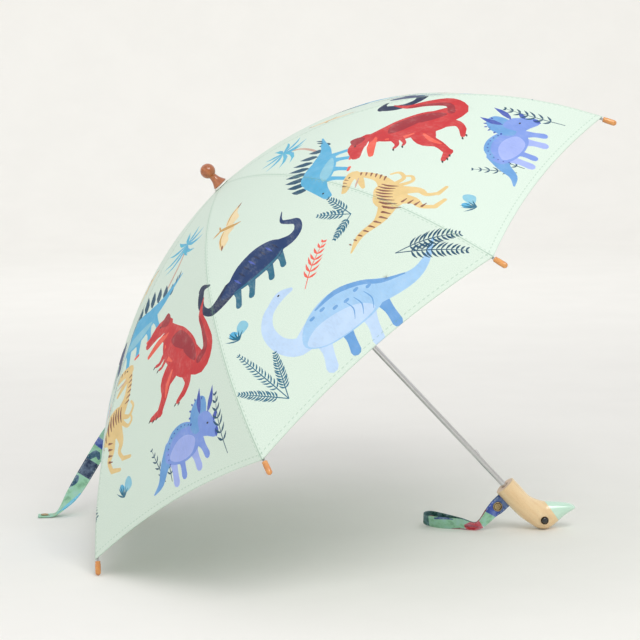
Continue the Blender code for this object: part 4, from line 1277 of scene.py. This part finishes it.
def part_at_bill(shape, keep_head):
    """Cuts the shape on the oblique line between head and bill and closes the cut."""
    inner = handle_point(*BILL_LINE[0])
    line = handle_point(*BILL_LINE[1]) - inner
    normal = SIDE.cross(line).normalized()
    if normal.dot(OVER) < 0.0:
        normal = -normal
    geometry = shape.verts[:] + shape.edges[:] + shape.faces[:]
    cut = bmesh.ops.bisect_plane(shape, geom=geometry, plane_co=inner, plane_no=normal,
                                 clear_outer=keep_head, clear_inner=not keep_head)
    edges = [item for item in cut["geom_cut"] if isinstance(item, bmesh.types.BMEdge)]
    bmesh.ops.holes_fill(shape, edges=edges)
    for edge in edges:
        edge.smooth = False
    bmesh.ops.recalc_face_normals(shape, faces=shape.faces)


def hidden_cutter(name, build):
    shape = bmesh.new()
    build(shape)
    return link(name, mesh_from(name, shape))


def carve(obj, cutters):
    """Cuts the pieces out of obj, then removes them."""
    for cutter in cutters:
        boolean = obj.modifiers.new("cut", "BOOLEAN")
        boolean.operation = "DIFFERENCE"
        boolean.solver = "EXACT"
        boolean.object = cutter
    bpy.context.view_layer.update()
    graph = bpy.context.evaluated_depsgraph_get()
    data = bpy.data.meshes.new_from_object(obj.evaluated_get(graph))
    obj.modifiers.clear()
    obj.data = data
    for cutter in cutters:
        bpy.data.objects.remove(cutter, do_unlink=True)


def build_handle():
    shape = carved_handle_shape()
    part_at_bill(shape, True)
    grip = link("grip_carved", mesh_from("grip_carved", shape, [HANDLE_WOOD, GRIP_END]))
    bore_turn = TO_WORLD @ Matrix.Translation((0, 0, -HANDLE_TOP))
    bore = hidden_cutter("bore", lambda s: bmesh.ops.create_cone(
        s, cap_ends=True, segments=40, radius1=BORE_RADIUS, radius2=BORE_RADIUS, depth=0.05,
        matrix=bore_turn))
    slot_turn = (Matrix.Translation(handle_point(STRAP_SLOT_PLACE, -0.0133))
                 @ TO_WORLD.to_3x3().to_4x4()
                 @ Matrix.Diagonal((0.0100, STRAP_SLOT_WIDTH, STRAP_SLOT_LENGTH, 1.0)))
    slot = hidden_cutter("slot", lambda s: bmesh.ops.create_cube(s, size=1.0,
                                                                 matrix=slot_turn))
    carve(grip, [bore, slot])
    mark_grain(grip.data)
    stand_for(grip, "handle", "stick")
    shape = carved_handle_shape()
    for face in shape.faces:
        face.material_index = 0
    part_at_bill(shape, False)
    data = mesh_from("bill_painted", shape, [MINT_PAINT])
    mark_grain(data)
    stand_for(link("bill_painted", data), "bill", "stick")


def build_eyes():
    """A domed black stud in a thin dark ring on each side of the head."""
    dome = [(0.0, 0.00160), (0.0010, 0.00153), (0.0020, 0.00130), (0.0029, 0.00090),
            (0.0036, 0.00035), (0.0039, -0.00010), (EYE_RADIUS, -0.00060),
            (EYE_RADIUS, -0.0010), (0.0, -0.0010)]
    ring = [(0.0040, 0.00005), (0.0043, 0.00030), (0.0047, 0.00015), (0.0048, -0.0004),
            (0.0048, -0.0016), (0.0040, -0.0016), (0.0040, 0.00005)]
    for name, side in (("right", -1.0), ("left", 1.0)):
        place = handle_point(*EYE_PLACE, side * EYE_FROM_MIDDLE)
        turn = looking_along(SIDE * side, place)
        eye = turned_mesh(f"eye_dome_{name}", rounded_profile(dome, 2), turn, [EYE_GLOSS],
                          steps=36)
        stand_for(eye, f"eye_{name}", "stick")
        rim = turned_mesh(f"eye_ring_{name}", ring, turn, [BRASS_DARK], steps=36)
        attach(rim, "stick")


def build_snap():
    """The press stud's cap, with a rolled rim and a recess whose groove is painted dark as shade,
    and its socket behind.
    """
    cap = [(0.0, 0.0011), (0.0020, 0.0010), (0.0034, 0.0008), (0.0040, 0.0005),
           (0.0044, 0.0006), (0.0048, 0.0013), (0.0053, 0.0014), (0.0058, 0.0010),
           (SNAP_RADIUS, 0.0004), (SNAP_RADIUS, 0.0001), (0.0057, 0.0), (0.0, 0.0)]
    for name, node, side in (("front", "snap_cap", -1.0), ("back", "snap_socket", 1.0)):
        place = handle_point(STRAP_SLOT_PLACE, -SNAP_DROP, side * SNAP_FROM_MIDDLE)
        # The groove's rows take the dark brass as painted shade.
        stud = turned_mesh(f"press_stud_{name}", cap, looking_along(SIDE * side, place),
                           [BRASS, BRASS_DARK], steps=40, second_rows=(3, 4))
        stand_for(stud, node, "stick")


build_finial()
build_tip_caps()
build_handle()
build_eyes()
build_snap()

for node_name, node in frame["nodes"].items():
    kind = node_name.split("_")[0]
    if kind in ("rib", "stretcher"):
        finish = WIRE_STEEL
    elif node_name in ("runner", "top_notch"):
        finish = BLACK_METAL
    elif kind in ("shaft", "top", "bottom"):
        finish = STEEL
    else:
        continue
    for material_slot in node.material_slots:
        material_slot.material = finish

# ---------------------------------------------------------------- straps


class StrapPath:
    """A strap's middle line and width direction, smooth through (place, across, share)."""

    def __init__(self, stations):
        rows = smooth_through([(*place, *Vector(across).normalized(), share)
                               for place, across, share in stations], steps=8)
        self.places = [Vector(row[:3]) for row in rows]
        self.shares = [row[6] for row in rows]
        self.lengths = [0.0]
        for before, after in zip(self.places, self.places[1:]):
            self.lengths.append(self.lengths[-1] + (after - before).length)
        self.across = []
        for i, row in enumerate(rows):
            before = self.places[max(i - 1, 0)]
            after = self.places[min(i + 1, len(rows) - 1)]
            along = (after - before).normalized()
            wide = Vector(row[3:6])
            self.across.append((wide - along * wide.dot(along)).normalized())
        self.length = self.lengths[-1]

    def at(self, x, along):
        """The point this far along and x across the strap's middle line."""
        along = min(max(along, 0.0), self.length)
        i = int(np.searchsorted(self.lengths, along, side="right")) - 1
        i = min(max(i, 0), len(self.places) - 2)
        t = (along - self.lengths[i]) / max(self.lengths[i + 1] - self.lengths[i], 1e-9)
        wide = self.across[i].lerp(self.across[i + 1], t)
        share = self.shares[i] * (1.0 - t) + self.shares[i + 1] * t
        return self.places[i].lerp(self.places[i + 1], t) + wide * (x * share)


def strap_cloth(name):
    """The canopy's cloth, doubled and stitched along both edges."""
    n = Nodes(name, INKS["cloth"], Roughness=0.7, Sheen_Weight=0.08, Sheen_Roughness=0.5)
    ink = n.add("ShaderNodeVertexColor", {"layer_name": "ink"})
    flat = n.coordinates(uv="cloth")
    wash = n.noise(flat, 90.0, 3.0, 0.6)
    tone = n.mix(n.ramp(wash, 0.35, 0.7, 0.0, 0.3), ink.outputs["Color"], INKS["pale_sky"])
    tone = n.mix(n.ramp(wash, 0.3, 0.5, 0.3, 0.0), tone, INKS["deep_navy"])
    edge = n.attribute("to_edge")
    line = n.math("ABSOLUTE", n.math("SUBTRACT", edge, 0.0015))
    groove = n.ramp(line, 0.0001, 0.0005, 1.0, 0.0)
    wave = n.add("ShaderNodeTexWave", {"bands_direction": "Y"}, Vector=flat, Scale=70.0)
    stitches = n.math("MULTIPLY", groove, n.ramp(wave, 0.3, 0.6))
    tone = n.mix(n.math("MULTIPLY", stitches, 0.5), tone, linear(214, 232, 222))
    thread = n.noise(flat, 1100.0, 2.0)
    height = n.math("SUBTRACT", n.math("MULTIPLY", thread, 0.4), groove)
    return n.finish(tone, n.ramp(wash, 0.3, 0.7, 0.62, 0.76), n.bump(height, 0.4, 0.0003))


STRAP_CLOTH = strap_cloth("strap_print")


def bend_with_canopy(piece, share):
    """Puts every point of the piece at this share's place from rib 4 to the fold, and bakes its
    transform.
    """
    for vertex in piece.data.vertices:
        vertex.co = (pattern_share(share), 0.0, 0.0)
    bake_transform(piece)


def strap_piece(name, path, width, thick, shapes, hold, node):
    """A printed strap along its path; hold is given the piece before its points are put in space.
    """
    half, length = width / 2.0, path.length
    count = max(int(length / STRAP_BORDER_STEP), 8)
    border = [(-half, -length * i / count) for i in range(count + 1)]
    border += [(half, -length * i / count) for i in range(count, -1, -1)]

    def inside(x, y, margin):
        return abs(x) < half - margin and margin < -y < length - margin

    flat, triangles = cut_pattern(border, [], shapes, STRAP_SPACING, inside)
    middle = path.at(0.0, length * 0.5)
    outward = (path.at(half, length * 0.5) - middle).cross(
        path.at(0.0, length * 0.5 + 0.002) - middle)
    data, used, points = cloth_mesh(name, flat, triangles, lambda x, y: path.at(x, -y), outward)
    add_measure(data, "to_edge", [min(half - abs(flat[i][0]), -flat[i][1], length + flat[i][1])
                                  for i in used])
    data.materials.append(STRAP_CLOTH)
    piece = link(name, data)
    hold(piece)
    put_in_space(piece, points)
    thicken(piece, thick)
    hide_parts(node)


def panel(ink, top, bottom, left=-0.02, right=0.02, slant=0.0):
    """A patch of colour across a strap, between two distances down it."""
    return [(ink, [(left, -top + slant), (right, -top - slant), (right, -bottom - slant),
                   (left, -bottom + slant)])]


def wrist_strap_path():
    """Out of the grip, down past the stud, round an open loop and back."""
    down_shaft = -UP
    root = handle_point(STRAP_SLOT_PLACE, -0.0100)
    snap = handle_point(STRAP_SLOT_PLACE, -SNAP_DROP)
    low = handle_point(STRAP_SLOT_PLACE, -0.0335)
    edge = 0.5 * WRIST_STRAP_WIDTH
    turned_at = Vector((low.x - 0.0170, 0.0030, FLOOR_CLEARANCE + 0.70 * edge))
    middle = [
        (root, down_shaft, 1.0, 0.0009),
        (snap, down_shaft, 1.0, 0.0009),
        (low, down_shaft + Vector((0.10, 0.0, 0.0)), 0.84, 0.0009),
        (turned_at + Vector((0.0, 0.0, -0.0014)), (0.35, 0.10, -1.0), 0.52, 0.0010),
        (turned_at + Vector((-0.0200, 0.0100, 0.0002)), (0.10, 0.15, -1.0), 0.68, 0.0020),
        (turned_at + Vector((-0.0400, 0.0220, 0.0012)), (0.05, 0.30, -1.0), 0.80, 0.0050),
        (turned_at + Vector((-0.0560, 0.0340, 0.0030)), (0.0, 0.45, -1.0), 0.72, 0.0058),
    ]
    front, back = [], []
    for i, (place, across, share, apart) in enumerate(middle):
        before, after = middle[max(i - 1, 0)][0], middle[min(i + 1, len(middle) - 1)][0]
        along = (after - before).normalized()
        off = along.cross(Vector(across)).normalized()
        if off.y > 0.0:
            off = -off
        front.append((place + off * apart, across, share))
        back.append((place - off * apart, across, share))
    tip, tip_across, tip_share, _ = middle[-1]
    end = tip + (tip - middle[-2][0]).normalized() * WRIST_LOOP_END
    return StrapPath(front + [(end, tip_across, tip_share)] + back[::-1])


def wrist_strap_print(length):
    shapes = panel("navy_print", 0.0, 0.0290, slant=0.002)
    shapes += blob("royal", [(-0.009, -0.014), (0.001, -0.010), (0.007, -0.018),
                             (0.009, -0.027), (-0.002, -0.030), (-0.010, -0.024)])
    shapes += panel("stripe_green", 0.0270, 0.0445, slant=-0.003)
    shapes += limb("dark_red", [(-0.0095, -0.026), (-0.0095, -0.044)], [0.0016, 0.0020])
    shapes += [("red", [(-0.0100, -0.0425), (0.0100, -0.0445), (0.0100, -0.0600),
                        (-0.0020, -0.0720), (-0.0100, -0.0600)])]
    shapes += limb("dark_red", [(0.006, -0.046), (-0.002, -0.055), (0.004, -0.066)],
                   [0.001, 0.004, 0.002])
    shapes += [("stripe_green", [(-0.0100, -0.0590), (0.0000, -0.0660), (0.0100, -0.0640),
                                 (0.0100, -0.1200), (-0.0100, -0.1200)])]
    shapes += limb("dark_red", [(0.0090, -0.062), (0.0092, -0.082)], [0.0030, 0.0008])
    shapes += limb("navy_print", [(-0.0078, -0.080), (-0.0086, -0.092), (-0.0070, -0.103)],
                   [0.0015, 0.0040, 0.0030])
    shapes += panel("deep_green", 0.1120, length)
    return shapes + limb("trunk", [(0.004, -0.128), (0.000, -0.136), (0.003, -0.146)],
                         [0.001, 0.003, 0.001])


def build_wrist_strap():
    path = wrist_strap_path()
    strap_piece("wrist_strap_sewn", path, WRIST_STRAP_WIDTH, WRIST_STRAP_THICK,
                wrist_strap_print(path.length), lambda piece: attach(piece, "stick"),
                "wrist_strap")


def tie_strap_route():
    """The strap's path down to the floor, and the place where it is sewn to the canopy."""
    gore, along, share = TIE_STRAP_GORE, TIE_STRAP_ALONG, TIE_STRAP_SHARE
    wide = half_width(gore, along)
    sewn, _ = on_gore(gore, wide * share, along)
    lower, _ = on_gore(gore, half_width(gore, along + 0.02) * share, along + 0.02)
    level, _ = on_gore(gore, wide * (share - 0.1), along)
    outward = (lower - sewn).cross(level - sewn).normalized()
    if outward.x > 0.0:
        outward = -outward
    sewn = sewn + outward * 0.0021
    run = Vector((-0.45, 0.02, -0.80))
    run = (run - outward * run.dot(outward)).normalized()
    level = outward.cross(run)
    if level.x < 0.0:
        level = -level
    fall = [
        (-0.0400, -0.0030, 0.0925, (0.80, 0.00, -0.60), 1.00),
        (-0.0610, -0.0090, 0.0595, (0.80, -0.05, -0.60), 1.00),
        (-0.0800, -0.0130, 0.0300, (0.60, -0.50, -0.45), 0.98),
        (-0.0950, -0.0150, 0.0110, (0.20, -1.00, -0.15), 0.95),
        (-0.1030, -0.0165, 0.0034, (0.00, -1.00, 0.00), 0.92),
        (-0.1100, -0.0170, 0.0017, (0.00, -1.00, 0.00), 0.92),
        (-0.1260, -0.0173, 0.0017, (0.00, -1.00, 0.00), 0.90),
    ]
    stations = [
        (sewn, level, 1.0),
        (sewn + run * 0.0160 + outward * 0.0006, level, 1.0),
        (sewn + run * 0.0300 + outward * 0.0060, level + Vector((0.2, 0, 0)), 1.0),
    ]
    for x, y, height, across, width_share in fall:
        stations.append((Vector((sewn.x + x, sewn.y + y, height)), across, width_share))
    return StrapPath(stations), sewn


def tie_strap_print(end):
    shapes = panel("stripe_green", 0.0, end)
    shapes += panel("royal", end - 0.135, end - 0.124, slant=0.002)
    shapes += limb("dark_teal", [(-0.008, -end + 0.104), (-0.001, -end + 0.116),
                                 (0.005, -end + 0.112)], [0.006, 0.008, 0.004])
    shapes += panel("deep_navy", end - 0.105, end - 0.083, slant=0.0005)
    shapes += limb("dark_teal", [(-0.007, -end + 0.078), (-0.006, -end + 0.071),
                                 (-0.010, -end + 0.060)], [0.005, 0.006, 0.001])
    shapes += limb("stripe_cyan", [(0.009, -end + 0.062), (0.008, -end + 0.046),
                                   (0.006, -end + 0.026)], [0.002, 0.006, 0.005])
    shapes += limb("red", [(-0.002, -end + 0.022), (0.000, -end + 0.020)], [0.002, 0.002])
    return shapes + limb("brown", [(0.004, -end + 0.014), (0.000, -end + 0.008)],
                         [0.003, 0.002])


def build_tie_strap():
    """Sewn to the back of the canopy, and hanging down to lie on the floor, with its stud."""
    path, sewn = tie_strap_route()
    share = 1.0 - TIE_STRAP_SHARE
    strap_piece("tie_strap_sewn", path, TIE_STRAP_WIDTH, TIE_STRAP_THICK,
                tie_strap_print(path.length), lambda piece: bend_with_canopy(piece, share),
                "tie_strap")
    x, y, height = TIE_STUD_PLACE
    stud_place = Vector((sewn.x + x, sewn.y + y, height))
    stud = turned_mesh("tie_press_stud",
                       [(0.0, 0.0012), (0.0014, 0.0012), (0.0020, 0.0009), (0.0034, 0.0010),
                        (0.0042, 0.0008), (0.0048, 0.0004), (0.0050, 0.0), (0.0, 0.0)],
                       Matrix.Translation(stud_place), [BRASS], steps=32)
    points = [vertex.co.copy() for vertex in stud.data.vertices]
    bend_with_canopy(stud, share)
    put_in_space(stud, points)
    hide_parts("tie_snap")


build_wrist_strap()
build_tie_strap()

# ---------------------------------------------------------------- stage


def soft_light(name, place, aim, size, power, colour):
    data = bpy.data.lights.new(name, "AREA")
    data.shape = "RECTANGLE"
    data.size, data.size_y = size
    data.energy = power
    data.color = colour
    lamp = link(name, data)
    lamp.location = place
    lamp.rotation_mode = "QUATERNION"
    lamp.rotation_quaternion = (Vector(aim) - Vector(place)).to_track_quat("-Z", "Y")


def build_stage():
    """A pale round floor that curves up into a wall on every side."""
    n = Nodes("paper_backdrop", linear(240, 239, 235), Roughness=0.9)
    grain = n.noise(n.coordinates(), 6.0, 4.0, 0.6)
    tone = n.mix(n.ramp(grain, 0.3, 0.7), linear(239, 238, 234), linear(241, 240, 236))
    n.finish(tone)
    profile = [(0.0, 0.0), (1.5, 0.0), (FLOOR_RADIUS, 0.0)]
    for i in range(1, 13):
        angle = math.pi / 2.0 * i / 12
        profile.append((FLOOR_RADIUS + WALL_CURVE * math.sin(angle),
                        WALL_CURVE - WALL_CURVE * math.cos(angle)))
    profile.append((FLOOR_RADIUS + WALL_CURVE, WALL_HEIGHT))
    turned_mesh("backdrop", profile, Matrix.Identity(4), [n.material], steps=96)
    world = bpy.data.worlds.new("studio")
    world.use_nodes = True
    background = world.node_tree.nodes["Background"]
    background.inputs["Color"].default_value = (*linear(250, 250, 252), 1.0)
    background.inputs["Strength"].default_value = 0.84
    bpy.context.scene.world = world
    bpy.context.scene.view_settings.view_transform = "Standard"
    soft_light("key", (0.45, -1.75, 2.2), (0.0, 0.0, 0.2), (1.3, 1.1), 26.0, (1.0, 0.985, 0.96))
    soft_light("fill", (-2.2, -1.6, 1.2), (0.0, 0.0, 0.2), (1.8, 1.4), 4.0, (0.96, 0.98, 1.0))
    soft_light("wall", (0.0, 2.2, 2.8), (0.0, 5.4, 0.8), (3.0, 1.0), 34.0, (1.0, 0.99, 0.97))


build_stage()
